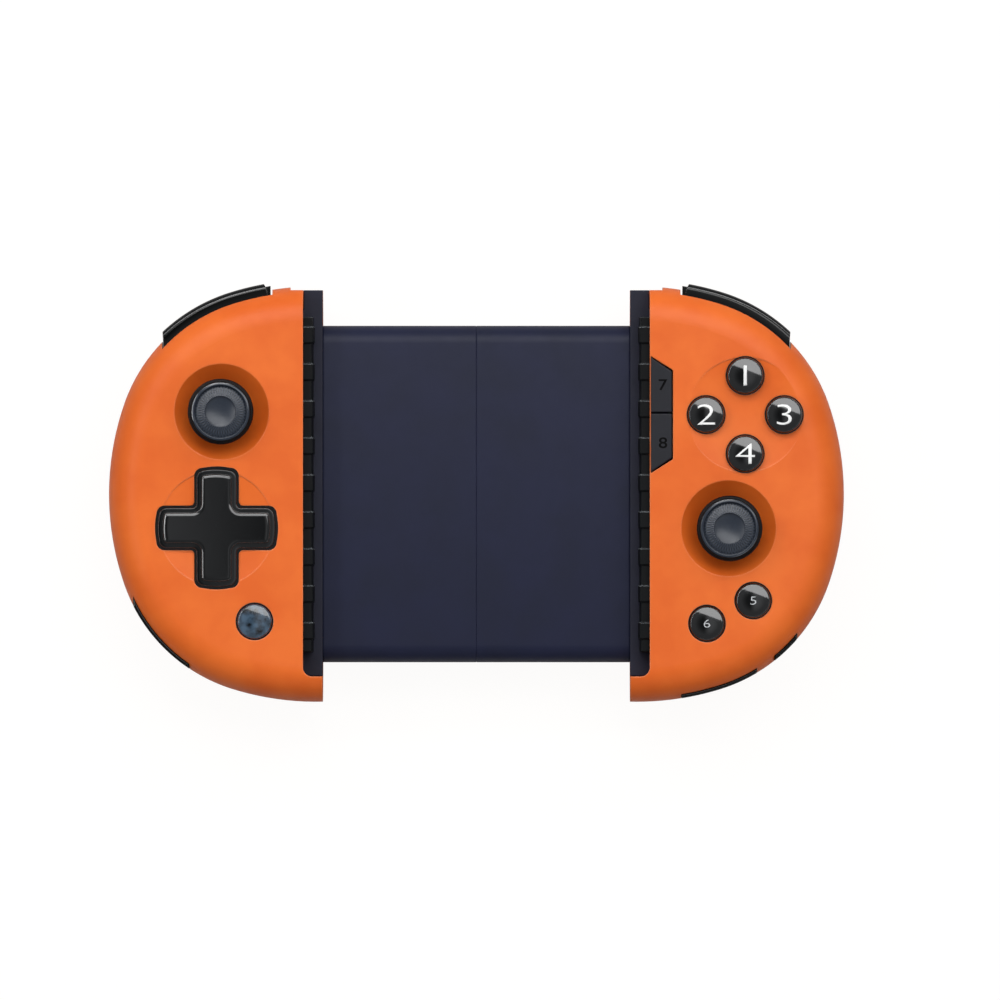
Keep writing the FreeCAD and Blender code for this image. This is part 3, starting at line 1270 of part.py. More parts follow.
rail_place = rack_back + rack_bar + rail_room
axle_hole = rod(zero, zero, tray_low - over_cut, cavity_high, axle_radius)
tray_hollow = box(tray_wall - carrier_reach, carrier_reach - tray_wall,
                  tray_wall - carrier_half, carrier_half - tray_wall, tray_inside,
                  cover_low + over_cut)
rack_slots = [box(-1 * carrier_reach - over_cut, tray_wall * 2 - carrier_reach,
                  rack_back - rail_room, rail_place, tray_inside, cover_low + over_cut),
              box(carrier_reach - tray_wall * 2, carrier_reach + over_cut,
                  -1 * rail_place, rail_room - rack_back, tray_inside, cover_low + over_cut)]
slot_half = size("slot_half", 1.8, "half width of the slots for the springs")
spring_slots = [box(-1 * carrier_reach - over_cut, carrier_reach + over_cut,
                    side * hook_y - slot_half, side * hook_y + slot_half, tray_inside,
                    cover_low + over_cut) for side in (-1, 1)]
ribbon_low = size("ribbon_low", 13.5, "near edge of the ribbon cable along Y")
ribbon_wide = size("ribbon_wide", 4, "width of the ribbon cable")
ribbon_slot = box(-1 * carrier_reach - over_cut, carrier_reach + over_cut,
                  -1 * ribbon_low - ribbon_wide - rail_room, rail_room - ribbon_low,
                  tray_inside, cover_low + over_cut)
rails = [box(tray_wall - carrier_reach, carrier_reach - tray_wall,
             side * (rail_place + rail_thick / 2) - rail_thick / 2,
             side * (rail_place + rail_thick / 2) + rail_thick / 2, tray_low, cover_low)
         for side in (-1, 1)]
tray = cut(box(-1 * carrier_reach, carrier_reach, -1 * carrier_half, carrier_half, tray_low,
               cover_low), [tray_hollow] + rack_slots + spring_slots + [ribbon_slot])
post = rod(zero, zero, tray_low, cover_low + cover_thick, axle_radius)
finish(fuse([tray, post] + rails), "carrier_tray")
finish(cut(box(-1 * carrier_reach, carrier_reach, -1 * carrier_half, carrier_half, cover_low,
               cover_low + cover_thick), [axle_hole]), "carrier_cover")

pinion = start_body("pinion")
root_radius = pitch_radius - gear_module * tooth_deep
tip_radius = pitch_radius + gear_module * tooth_high
blank_sketch = sketch_in(pinion, "XY_Plane", gear_low, [])
draw_circle(blank_sketch, zero, zero, root_radius)
pad(pinion, blank_sketch, gear_high - gear_low)
base_radius = pitch_radius * cos(tooth_angle)
foot_half = size("foot_half", 0.76, "half width of a pinion tooth at its base circle")
peak_half = size("peak_half", 0.2, "half width of a pinion tooth at its tip")
tooth_sketch = sketch_in(pinion, "XY_Plane", gear_low, [[
    (root_radius - gear_module / 2, -1 * foot_half), (base_radius, -1 * foot_half, flank_arc, 1),
    (tip_radius, -1 * peak_half), (tip_radius, peak_half, flank_arc, 1),
    (base_radius, foot_half), (root_radius - gear_module / 2, foot_half)]])
first_tooth = pad(pinion, tooth_sketch, gear_high - gear_low)
teeth = pinion.newObject("PartDesign::PolarPattern", "teeth")
teeth.Originals = [first_tooth]
teeth.Axis = (tooth_sketch, ["N_Axis"])
teeth.Angle = 360
bind(teeth, "Occurrences", tooth_count)
pinion.Tip = teeth
bore_sketch = sketch_in(pinion, "XY_Plane", gear_low, [])
draw_circle(bore_sketch, zero, zero, axle_radius + axle_room)
pocket(pinion, bore_sketch, gear_high - gear_low, reverse=True)
finish(pinion, "pinion")


def rack(side, name):
    """Makes one rack; the other is the same piece turned half round, with side = -1."""
    body = start_body("rack")
    inner_end = -1 * cavity_end
    bar = [(inner_end, rack_back), (rack_end, rack_back), (rack_end, rack_back + rack_bar),
           (inner_end, rack_back + rack_bar)]
    middle = rack_back + rack_bar / 2
    foot = [(inner_end, middle - foot_wide / 2), (inner_end + foot_long, middle - foot_wide / 2),
            (inner_end + foot_long, middle + foot_wide / 2), (inner_end, middle + foot_wide / 2)]
    start = -1 * rack_first * pitch
    tooth = [(start - root_half, rack_back + rack_bar / 2), (start - root_half, rack_back),
             (start - tip_half, rack_back - gear_module * (tooth_high + tooth_deep)),
             (start + tip_half, rack_back - gear_module * (tooth_high + tooth_deep)),
             (start + root_half, rack_back), (start + root_half, rack_back + rack_bar / 2)]
    turned = [[(side * x, side * y) for x, y in outline] for outline in (bar, foot, tooth)]
    pad(body, sketch_in(body, "XY_Plane", gear_low, [turned[0]]), gear_high - gear_low)
    pad(body, sketch_in(body, "XY_Plane", cavity_low, [turned[1]]), cavity_high - cavity_low)
    single = pad(body, sketch_in(body, "XY_Plane", gear_low, [turned[2]]), gear_high - gear_low)
    row = body.newObject("PartDesign::LinearPattern", "teeth")
    row.Originals = [single]
    row.Direction = ([f for f in body.Origin.OriginFeatures if f.Role == "X_Axis"][0], [""])
    row.Reversed = side < 0
    bind(row, "Length", pitch * (rack_teeth - 1))
    bind(row, "Occurrences", rack_teeth)
    body.Tip = row
    finish(body, name)


rack(1, "left_rack")
rack(-1, "right_rack")

# Return springs: two closed-coil extension springs hook over the posts of both halves and
# draw them together. A coil is a tube here, with a bar across each end that holds the hook.
# A flat ribbon cable lies folded beside them.

coil_radius = size("coil_radius", 1.2, "outer radius of a return spring")
coil_wire = size("coil_wire", 0.35, "wire of a return spring")
hook_room = size("hook_room", 0.2, "room of a spring's hook round its post")
hook_in = hook_radius + hook_room
hook_out = hook_in + 2 * coil_wire
coil_reach = hook_x - hook_out + coil_wire / 2
coil_mean = coil_radius - coil_wire / 2
spring_level = (gear_low + gear_high) / 2
springs = []
for side in (-1, 1):
    tube = cut(rod_x(-1 * coil_reach, coil_reach, side * hook_y, spring_level, coil_radius),
               [rod_x(-1 * reach, reach, side * hook_y, spring_level,
                      coil_radius - coil_wire)])
    rings = []
    for end in (-1, 1):
        rings.append(cut(
            rod(end * hook_x, side * hook_y, spring_level - coil_wire,
                spring_level + coil_wire, hook_out),
            [rod(end * hook_x, side * hook_y, gear_low, gear_high, hook_in)]))
    bars = [box(end * coil_reach - coil_wire / 2, end * coil_reach + coil_wire / 2,
                side * hook_y - coil_mean, side * hook_y + coil_mean,
                spring_level - coil_wire / 2, spring_level + coil_wire / 2)
            for end in (-1, 1)]
    springs.append(fuse([tube] + rings + bars))
finish(group(springs), "return_springs")

ribbon_thick = size("ribbon_thick", 0.3, "thickness of the ribbon cable")
ribbon_fold = size("ribbon_fold", 48, "from the seam to the ribbon cable's folds")
level = [gear_low, (gear_low + gear_high - ribbon_thick) / 2, gear_high - ribbon_thick]
ribbon = start_body("ribbon")
end_x = cavity_end - fit_gap
fold_in = ribbon_fold - ribbon_thick
ribbon_profile = sketch_in(ribbon, "XZ_Plane", ribbon_low, [[
    (-1 * end_x, level[0]), (ribbon_fold, level[0]),
    (ribbon_fold, level[1] + ribbon_thick), (-1 * fold_in, level[1] + ribbon_thick),
    (-1 * fold_in, level[2]), (end_x, level[2]),
    (end_x, level[2] + ribbon_thick), (-1 * ribbon_fold, level[2] + ribbon_thick),
    (-1 * ribbon_fold, level[1]), (fold_in, level[1]),
    (fold_in, level[0] + ribbon_thick), (-1 * end_x, level[0] + ribbon_thick)]])
pad(ribbon, ribbon_profile, ribbon_wide)
finish(ribbon, "ribbon_cable")

# Every object has to be sound before anything is written.

doc.recompute()
for item in doc.Objects:
    if "Invalid" in item.State or "Error" in item.State:
        raise RuntimeError(f"{item.Label} failed: {item.State}")
for item in nodes:
    if item.Shape.isNull() or not item.Shape.isValid() or item.Shape.Volume <= 0:
        raise RuntimeError(f"{item.Label} has no sound shape")
for item in nodes:
    item.Shape.exportStep(f"parts/{item.Label}.step")
    print(item.Label, len(item.Shape.Solids), round(item.Shape.Volume, 1))
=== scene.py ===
import math

import bmesh
import bpy
import numpy as np
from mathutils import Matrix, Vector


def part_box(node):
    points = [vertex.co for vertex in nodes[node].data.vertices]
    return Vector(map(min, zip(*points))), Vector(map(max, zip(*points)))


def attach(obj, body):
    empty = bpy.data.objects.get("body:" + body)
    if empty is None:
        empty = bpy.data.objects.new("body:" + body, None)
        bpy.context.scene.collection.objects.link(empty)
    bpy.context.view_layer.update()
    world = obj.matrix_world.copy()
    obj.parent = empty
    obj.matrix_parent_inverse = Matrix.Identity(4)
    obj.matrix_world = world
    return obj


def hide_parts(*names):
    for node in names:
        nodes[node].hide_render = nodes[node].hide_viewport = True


# A telescopic phone gamepad in orange and black, lying on its back with its halves closed.
# The frame gives every rigid piece in metres: X along the stretch, Y up the grips, Z out of
# the face with the sticks and keys.
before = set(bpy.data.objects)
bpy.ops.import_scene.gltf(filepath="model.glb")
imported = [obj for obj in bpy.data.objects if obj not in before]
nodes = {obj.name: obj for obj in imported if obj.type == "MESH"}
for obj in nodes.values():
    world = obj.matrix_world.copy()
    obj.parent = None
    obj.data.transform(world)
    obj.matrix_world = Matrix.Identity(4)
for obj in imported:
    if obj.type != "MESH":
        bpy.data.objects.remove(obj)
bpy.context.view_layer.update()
MM = 0.001

# The shot: the pad is seen square from the front, from far off, a little off centre. The
# room is plain: a pale floor, a softbox, strip lamps, and dim fill light that falls off
# towards -Y. Straight overhead the fill steps from dark over -X to brighter over +X.


def linear(code):
    """Turns a colour written as sRGB hex into linear red, green, blue and alpha."""
    share = np.array([int(code[i:i + 2], 16) for i in (1, 3, 5)]) / 255
    bright = np.where(share <= 0.04045, share / 12.92, ((share + 0.055) / 1.055) ** 2.4)
    return (*bright.tolist(), 1.0)


def add(tree, kind, inputs, **settings):
    """Adds a shader node: settings are its options, inputs are values or sockets by name."""
    made = tree.nodes.new(kind)
    for name, value in settings.items():
        setattr(made, name, value)
    for name, value in inputs.items():
        if isinstance(value, bpy.types.NodeSocket):
            tree.links.new(value, made.inputs[name])
        else:
            made.inputs[name].default_value = value
    return made


def material(name):
    """Opens an empty node material and gives it with its tree and output node."""
    made = bpy.data.materials.new(name)
    made.use_nodes = True
    made.node_tree.nodes.clear()
    return made, made.node_tree, made.node_tree.nodes.new("ShaderNodeOutputMaterial")


scene = bpy.context.scene
scene.view_settings.view_transform = "Standard"
lens = 900.0
sensor = 36.0
picture_width = 235.6 * MM
face_height = 27.0 * MM
centre_x = 5.56 * MM
centre_y = -1.41 * MM
camera_data = bpy.data.cameras.new("photo_camera")
camera_data.lens = lens
camera_data.sensor_width = sensor
camera = bpy.data.objects.new("photo_camera", camera_data)
camera.location = (centre_x, centre_y, face_height + picture_width * lens / sensor)
scene.collection.objects.link(camera)
scene.camera = camera

world = bpy.data.worlds.new("dim_room")
world.use_nodes = True
room = world.node_tree
room.nodes.clear()
sky = add(room, "ShaderNodeTexCoord", {})
ray = add(room, "ShaderNodeSeparateXYZ", {"Vector": sky.outputs["Generated"]})
overhead = add(room, "ShaderNodeMapRange", {
    "Value": ray.outputs["Z"], "From Min": 0.94, "From Max": 0.985})
across = add(room, "ShaderNodeMapRange", {
    "Value": ray.outputs["X"], "From Min": -0.07, "From Max": 0.07, "To Min": 0.05,
    "To Max": 0.6})
down = add(room, "ShaderNodeMapRange", {
    "Value": ray.outputs["Y"], "From Min": -1.0, "From Max": 1.0, "To Min": 0.2,
    "To Max": 0.4})
level = add(room, "ShaderNodeMix", {
    "Factor": overhead.outputs[0], 2: down.outputs[0], 3: across.outputs[0]},
    data_type="FLOAT")
fill = add(room, "ShaderNodeBackground", {
    "Color": linear("#F4F6FA"), "Strength": level.outputs[0]})
pale = add(room, "ShaderNodeBackground", {"Color": linear("#FFFFFF"), "Strength": 0.95})
path = add(room, "ShaderNodeLightPath", {})
shown = add(room, "ShaderNodeMixShader", {
    0: path.outputs["Is Camera Ray"], 1: fill.outputs[0], 2: pale.outputs[0]})
add(room, "ShaderNodeOutputWorld", {"Surface": shown.outputs[0]})
scene.world = world


def softbox(name, tilt, turn, distance, width, height, radiance):
    """Hangs a rectangular lamp that faces the pad.

    It stands tilt degrees off the Z axis, turned turn degrees from +Y towards -X, and its
    power is radiance times pi times its area.
    """
    lamp = bpy.data.lights.new(name, "AREA")
    lamp.shape = "RECTANGLE"
    lamp.size = width
    lamp.size_y = height
    lamp.energy = radiance * math.pi * width * height
    holder = bpy.data.objects.new(name, lamp)
    off, round_z = math.radians(tilt), math.radians(turn)
    holder.location = (-distance * math.sin(off) * math.sin(round_z),
                       distance * math.sin(off) * math.cos(round_z),
                       distance * math.cos(off))
    holder.rotation_euler = (-off, 0, round_z)
    holder.visible_camera = False
    scene.collection.objects.link(holder)


# The strips hang 42 degrees off the Z axis, so narrow faces that lean by 21 degrees towards
# them show as bright lines. The wide softbox is mirrored in the keys' domes.
softbox("upper_strip", 42, 6, 1.0, 2.0, 0.07, 11.0)
softbox("left_strip", 42, 80, 1.0, 0.6, 0.07, 11.0)
softbox("lower_strip", 42, -140, 1.0, 2.6, 0.06, 2.6)
softbox("wide_softbox", 24, -20, 1.1, 1.2, 0.45, 3.6)

# The floor is matt off-white table paint with a fine grain. The camera sees it as an almost
# even glow, so that the ground is white. From below it is clear.
floor_paint, tree, out = material("pale_table_paint")
where = add(tree, "ShaderNodeTexCoord", {})
grain = add(tree, "ShaderNodeTexNoise", {"Vector": where.outputs["Object"], "Scale": 900.0})
tone = add(tree, "ShaderNodeMapRange", {
    "Value": grain.outputs["Fac"], "To Min": 0.55, "To Max": 0.7})
matt = add(tree, "ShaderNodeBsdfPrincipled", {
    "Base Color": linear("#D8D6D5"), "Roughness": tone.outputs[0], "Specular IOR Level": 0.2})
glow = add(tree, "ShaderNodeEmission", {"Color": linear("#FFFEFD"), "Strength": 1.06})
seen = add(tree, "ShaderNodeLightPath", {})
lift = add(tree, "ShaderNodeMath", {0: seen.outputs["Is Camera Ray"], 1: 0.9},
           operation="MULTIPLY")
paint = add(tree, "ShaderNodeMixShader", {
    0: lift.outputs[0], 1: matt.outputs[0], 2: glow.outputs[0]})
side = add(tree, "ShaderNodeNewGeometry", {})
clear = add(tree, "ShaderNodeBsdfTransparent", {})
one_sided = add(tree, "ShaderNodeMixShader", {
    0: side.outputs["Backfacing"], 1: paint.outputs[0], 2: clear.outputs[0]})
tree.links.new(one_sided.outputs[0], out.inputs["Surface"])
floor_half = 4.0
floor_gap = 0.2 * MM
floor_mesh = bpy.data.meshes.new("floor")
floor_mesh.from_pydata([(x * floor_half, y * floor_half, 0)
                        for x, y in ((-1, -1), (1, -1), (1, 1), (-1, 1))], [], [(0, 1, 2, 3)])
floor_mesh.materials.append(floor_paint)
floor = bpy.data.objects.new("floor", floor_mesh)
floor.location = (0, 0, -floor_gap)
floor.visible_diffuse = False
scene.collection.objects.link(floor)

# Grip shells: ABS injection mouldings in a fine spark-eroded tool, so the skin is satin. The
# front and back shells meet at one parting line round the grip, and their lips are softly
# broken and polished a little by the hands. Along the edges the orange is painted lighter as
# a highlight.


def moulded(name, colour, deep, edge_wear_and_sheen, rough, grain, depth, edge, shine=0.5, coat=0.0,
            wander=12.0, lit_facing=None, metal=0.0):
    """Makes an injection-moulded plastic, or a bare metal where metal is 1.

    The colour drifts between colour and deep over wander mm. Along edges, where a normal
    rounded over edge mm leans away from the real one, it turns to the lighter edge colour,
    which stands partly for rubbed wear and partly for a painted highlight. There the surface
    is smoother too. grain is the width of the tool's texture in mm, and depth its height in
    mm. Where a facing direction is given, only edges that face that way, towards the lamps,
    take the edge colour, as a painted highlight.
    """
    made, tree, out = material(name)
    where = add(tree, "ShaderNodeTexCoord", {})
    flow = add(tree, "ShaderNodeTexNoise", {
        "Vector": where.outputs["Object"], "Scale": 1 / (wander * MM), "Detail": 3.0})
    drift = add(tree, "ShaderNodeMapRange", {
        "Value": flow.outputs["Fac"], "From Min": 0.35, "From Max": 0.65})
    body = add(tree, "ShaderNodeMix", {
        "Factor": drift.outputs[0], 6: linear(colour), 7: linear(deep)}, data_type="RGBA")
    bent = add(tree, "ShaderNodeBevel", {"Radius": edge * MM}, samples=6)
    straight = add(tree, "ShaderNodeNewGeometry", {})
    cosine = add(tree, "ShaderNodeVectorMath", {
        0: bent.outputs[0], 1: straight.outputs["Normal"]}, operation="DOT_PRODUCT")
    near_edge = add(tree, "ShaderNodeMapRange", {
        "Value": cosine.outputs["Value"], "From Min": 0.985, "From Max": 0.80})
    rubbed = add(tree, "ShaderNodeTexNoise", {
        "Vector": where.outputs["Object"], "Scale": 1 / (3 * MM), "Detail": 4.0})
    share = add(tree, "ShaderNodeMath", {
        0: near_edge.outputs[0], 1: rubbed.outputs["Fac"]}, operation="MULTIPLY")
    # Painted highlight: only edges that lean along the facing direction, towards the lamps,
    # keep the edge colour.
    if lit_facing:
        along = add(tree, "ShaderNodeVectorMath", {0: bent.outputs[0], 1: lit_facing},
                    operation="DOT_PRODUCT")
        turned = add(tree, "ShaderNodeMapRange", {
            "Value": along.outputs["Value"], "From Min": 0.15, "From Max": 0.4})
        share = add(tree, "ShaderNodeMath", {
            0: near_edge.outputs[0], 1: turned.outputs[0]}, operation="MULTIPLY")
    # Painted highlight, partly wear: the edge mask mixes the colour towards the lighter edge
    # colour.
    tint = add(tree, "ShaderNodeMix", {
        "Factor": share.outputs[0], 6: body.outputs[2], 7: linear(edge_wear_and_sheen)}, data_type="RGBA")
    pits = add(tree, "ShaderNodeTexNoise", {
        "Vector": where.outputs["Object"], "Scale": 1 / (grain * MM), "Detail": 2.0})
    satin = add(tree, "ShaderNodeMapRange", {
        "Value": rubbed.outputs["Fac"], "To Min": rough * 0.88, "To Max": rough * 1.12})
    polish = add(tree, "ShaderNodeMath", {
        0: share.outputs[0], 1: -0.25 * rough, 2: satin.outputs[0]}, operation="MULTIPLY_ADD")
    texture = add(tree, "ShaderNodeBump", {
        "Height": pits.outputs["Fac"], "Distance": depth * MM, "Normal": bent.outputs[0]})
    surface = add(tree, "ShaderNodeBsdfPrincipled", {
        "Base Color": tint.outputs[2], "Metallic": metal, "Roughness": polish.outputs[0],
        "Specular IOR Level": shine, "Coat Weight": coat, "Coat Roughness": 0.02,
        "Normal": texture.outputs[0]})
    tree.links.new(surface.outputs[0], out.inputs["Surface"])
    return made


def dress(made, names):
    """Gives CAD nodes their finish."""
    for name in names:
        for place in range(len(nodes[name].data.materials)):
            nodes[name].data.materials[place] = made


def both(name):
    """Gives the names of a piece that both grips have."""
    return [f"left_{name}", f"right_{name}"]


# Spark-eroded ABS in orange: satin, with a texture of about 0.1 mm drawn at 0.3 mm to show.
orange_abs = moulded("spark_eroded_orange_abs", "#E96E26", "#E0631D", "#FFAC7E",
                     rough=0.45, grain=0.3, depth=0.012, edge=0.5, shine=0.3)
shells = both("front_shell") + both("back_shell")
dress(orange_abs, shells)

# Phone clamps: an angle of dark ABS let into each grip's inner edge, with a matt spark
# texture, so that it reads as blue-black beside the rubber.


def break_edges(item, width):
    """Breaks an object's sharp edges by width in mm, as the edges of a mould are."""
    bevel = item.modifiers.new("broken_edges", "BEVEL")
    bevel.width = width * MM
    bevel.segments = 2
    bevel.limit_method = "ANGLE"
    bevel.angle_limit = math.radians(40)
    bevel.harden_normals = True


def soften(names, width):
    """Joins the faces of CAD nodes at their shared points and breaks their sharp edges."""
    for name in names:
        weld = nodes[name].modifiers.new("weld", "WELD")
        weld.merge_threshold = 1e-6
        break_edges(nodes[name], width)


clamp_abs = moulded("matt_blue_black_abs", "#1F2030", "#1B1C2A", "#34364A",
                    rough=0.55, grain=0.25, depth=0.01, edge=0.35, shine=0.25)
dress(clamp_abs, both("phone_clamp"))
soften(both("phone_clamp"), 0.25)

# Grip pads: strips of moulded silicone rubber with nine blocks each, pressed on the clamp's
# wall. The rubber is near black. The blocks' upper edges, which face the lamps, are painted
# pale grey as a highlight.
pad_rubber = moulded("moulded_silicone_rubber", "#0C0E10", "#0A0C0D", "#B4BCC0",
                     rough=0.5, grain=0.3, depth=0.01, edge=0.3, shine=0.12,
                     lit_facing=(0, 1, 0))
dress(pad_rubber, both("grip_pad"))
soften(both("grip_pad"), 0.2)

# Cradle: two flat plates with back covers, moulded in the same dark ABS with a finer
# texture. Each half is a hollow slab with rolled long edges and a narrower tongue that runs
# into the grip. A phone rests on the plates, so their edges are faintly rubbed; the lighter
# edge colour is also a painted highlight.
cradle_abs = moulded("fine_matt_navy_abs", "#181C35", "#161A30", "#30354E",
                     rough=0.5, grain=0.2, depth=0.006, edge=0.5, shine=0.25)
dress(cradle_abs, ["carrier_tray", "carrier_cover"])


def skin(rings, low=None, high=None, flat_ends=False):
    """Covers a stack of closed rings, an array of (ring, vertex, xyz), with quads.

    The ends run to a fan round the points low and high, or are one flat face each, or else
    the last ring joins the first. Rings go anticlockwise about the way the stack grows.
    """
    rows, count = rings.shape[:2]
    here = np.arange(rows * count).reshape(rows, count)
    beside = np.roll(here, -1, axis=1)
    if low is None and not flat_ends:
        here = np.vstack([here, here[:1]])
        beside = np.vstack([beside, beside[:1]])
    quads = np.stack([here[:-1], beside[:-1], beside[1:], here[1:]], -1).reshape(-1, 4)
    points = rings.reshape(-1, 3)
    faces = quads.tolist()
    if flat_ends:
        faces += [here[0, ::-1].tolist(), here[-1].tolist()]
    elif low is not None:
        first = np.full(count, rows * count)
        faces += np.stack([first, beside[0], here[0]], -1).tolist()
        faces += np.stack([first + 1, here[-1], beside[-1]], -1).tolist()
        points = np.vstack([points, [low, high]])
    return points, faces


def piece(name, skins, made, body, stands_for=None, width=0.12):
    """Makes one object of closed skins, given in mm, and lets it ride on a body.

    It may stand for a CAD node, which is then hidden. width is that of its broken edges.
    """
    points, faces, used = [], [], 0
    for some_points, some_faces in skins:
        points.append(some_points)
        faces += [[corner + used for corner in face] for face in some_faces]
        used += len(some_points)
    mesh = bpy.data.meshes.new(name)
    mesh.from_pydata((np.vstack(points) * MM).tolist(), [], faces)
    mesh.materials.append(made)
    mesh.shade_smooth()
    item = bpy.data.objects.new(name, mesh)
    scene.collection.objects.link(item)
    break_edges(item, width)
    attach(item, body)
    if stands_for:
        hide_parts(stands_for)
    return item


slab_half = 39.708
slab_round = 4.2
slab_ends = (-0.002, -36.23)
tongue_half = 33.708
tongue_end = -64.0
cavity_half = 31.008
cavity_end = -62.4
split = 15.5

# Two posts stand on each back cover, up to just below the plate's roof.
post_place = (-60.2, 20.0)
post_radius = 1.0
post_ends = (12.5, 18.39)


def cradle_rings(face, tongue_face, roof):
    """Carries a channel section along X: the slab, the narrower tongue, and its end wall.

    face, tongue_face and roof are the heights of the slab's face, of the tongue's and of
    the cavity's roof. The section goes once round: outside over the face with its two
    quarter turns, then inside along the roof. Past the cavity's end the roof lies at the
    split, so that the section is solid there.
    """
    up = math.copysign(1, face - split)
    bend = np.radians(np.linspace(0, 90, 9))
    turned = np.column_stack([slab_half - slab_round * (1 - np.cos(bend)),
                              face - up * slab_round * (1 - np.sin(bend))])
    outside = np.vstack([[(slab_half, split)], turned])
    inside = np.array([(-cavity_half, split), (-cavity_half, roof), (cavity_half, roof),
                       (cavity_half, split)])
    slab = np.vstack([outside, outside[::-1] * (-1, 1), inside])
    outer = 2 * len(outside)
    narrow = slab.copy()
    narrow[:outer, 0] = np.clip(narrow[:outer, 0], -tongue_half, tongue_half)
    narrow[1:outer - 1, 1] = tongue_face
    solid = narrow.copy()
    solid[outer:, 1] = split
    rows = []
    for section, x in ((slab, slab_ends[0]), (slab, slab_ends[1]), (narrow, slab_ends[1]),
                       (narrow, cavity_end), (solid, cavity_end), (solid, tongue_end)):
        rows.append(np.column_stack([np.full(len(section), x), section]))
    return np.array(rows)[:, ::-int(up)]


def rod_skin(middle, radius, low, high, count=24):
    """Gives a closed upright rod: a ring of count points at each end."""
    turn = np.linspace(0, 2 * np.pi, count, endpoint=False)
    ring = np.column_stack([middle[0] + radius * np.cos(turn),
                            middle[1] + radius * np.sin(turn)])
    rings = np.array([np.column_stack([ring, np.full(count, z)]) for z in (low, high)])
    return skin(rings, flat_ends=True)


def mirrored(skins):
    """Turns skins over the seam plane X = 0 and puts their faces outwards again."""
    return [(points * (-1, 1, 1), [face[::-1] for face in faces]) for points, faces in skins]


front_half = [skin(cradle_rings(face=20.0, tongue_face=19.2, roof=18.4), flat_ends=True)]
back_half = [skin(cradle_rings(face=11.0, tongue_face=11.4, roof=12.6), flat_ends=True)]
back_half += [rod_skin((post_place[0], side * post_place[1]), post_radius, *post_ends)
              for side in (-1, 1)]
for part, half in (("cradle_plate", front_half), ("cradle_back", back_half)):
    piece(f"left_{part}_slab", half, cradle_abs, "left_grip",
          f"left_{part}")
    piece(f"right_{part}_slab", mirrored(half), cradle_abs, "right_grip",
          f"right_{part}")

# Round keys: gloss ABS from a mirror-polished tool, each with a flange below the shell, a
# rounded shoulder and a shallow dome that shows the softbox as a sharp shape.
piano_abs = moulded("piano_black_abs", "#0B0C0D", "#090A0B", "#141617",
                    rough=0.1, grain=2.0, depth=0.001, edge=0.2, coat=1.0)


def arc(centre, radius, start, end, count):
    """Gives count points of an arc about centre, between two angles in degrees."""
    angle = np.radians(np.linspace(start, end, count))
    return np.column_stack([centre[0] + radius * np.cos(angle),
                            centre[1] + radius * np.sin(angle)])


def spun(profile, centre, count=96):
    """Spins a half profile of (radius, height) points about an upright axis at centre.

    A vertex is (x + r cos a, y + r sin a, z), and the profile's ends lie on the axis.
    """
    turn = np.linspace(0, 2 * np.pi, count, endpoint=False)
    radius, height = profile[1:-1, :1], profile[1:-1, 1:]
    rings = np.stack([centre[0] + radius * np.cos(turn), centre[1] + radius * np.sin(turn),
                      height + 0 * turn], -1)
    return skin(rings, (*centre, profile[0, 1]), (*centre, profile[-1, 1]))


def place_of(name):
    """Gives a CAD node's middle in X and Y, and its lowest and highest Z, in mm."""
    low, high = (np.array(corner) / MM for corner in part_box(name))
    return (low[:2] + high[:2]) / 2, low[2], high[2]


face_radius = 4.25
small_radius = 4.1
key_dome = 16.0
key_shoulder = 0.6
key_side = 1.2
stem_radius = 1.6
flange_top = 26.4
flange_thick = 0.8
flange_out = 0.6


def key_profile(radius, low, high):
    """Gives a round key's half profile: stem, flange, side, rounded shoulder and dome.

    The shoulder is a quarter turn that ends level with the dome's slope.
    """
    inner = radius - key_shoulder
    slope = math.degrees(math.asin(inner / key_dome))
    edge = high - key_dome + math.sqrt(key_dome ** 2 - inner ** 2)
    flange, flange_low = radius + flange_out, flange_top - flange_thick
    foot = [(0, low), (stem_radius, low), (stem_radius, flange_low), (flange, flange_low),
            (flange, flange_top), (radius, flange_top), (radius, edge - key_side)]
    shoulder = arc((inner, edge - key_shoulder), key_shoulder, 0, 90 - slope, 9)
    dome = arc((0, high - key_dome), key_dome, 90 - slope, 90, 17)[1:]
    return np.vstack([foot, shoulder, dome])


face_buttons = {"button_north": "1", "button_west": "2", "button_east": "3",
                "button_south": "4"}
small_keys = {"start_button": "5", "select_button": "6"}
key_radii = (dict.fromkeys(face_buttons, face_radius)
             | dict.fromkeys(small_keys, small_radius))
for name, radius in key_radii.items():
    middle, low, high = place_of(name)
    piece(f"{name}_cap", [spun(key_profile(radius, low, high), middle)], piano_abs, name,
          name)

# Home key: a round key of the same form, without a numeral, with a smoked blue metallic film
# under its clear gloss face.
smoked_film = moulded("smoked_blue_film_under_gloss", "#445A6E", "#06080B", "#5A6E84",
                      rough=0.15, grain=1.2, depth=0.01, edge=0.2, coat=1.0,
                      wander=2.0)
middle, low, high = place_of("home_button")
piece("home_button_cap", [spun(key_profile(small_radius, low, high), middle)], smoked_film,
      "home_button", "home_button")

# Key numerals: one coat of white pad-printing ink, wide and thin-stroked, and of grey ink on
# the two small keys. The film is about 0.01 mm thick and is drawn at 0.03 mm, on the dome.
white_ink = moulded("pad_printed_white_ink", "#F4F4F2", "#ECECEA", "#FFFFFF",
                    rough=0.35, grain=0.2, depth=0.002, edge=0.02)
grey_ink = moulded("pad_printed_grey_ink", "#C9CCCE", "#BFC2C4", "#DADCDD",
                   rough=0.35, grain=0.2, depth=0.002, edge=0.02)
ink_film = 0.03
ink_lift = 0.01
tile = 0.5
last_cut = 4.0
# Each print is a height in mm and a stretch in width.
face_print = (4.8, 1.45)
small_print = (1.9, 1.35)
side_print = (2.6, 1.2)


def points_of(mesh):
    """Gives a mesh's vertices as an array of (vertex, xyz)."""
    flat = np.empty(len(mesh.vertices) * 3)
    mesh.vertices.foreach_get("co", flat)
    return flat.reshape(-1, 3)


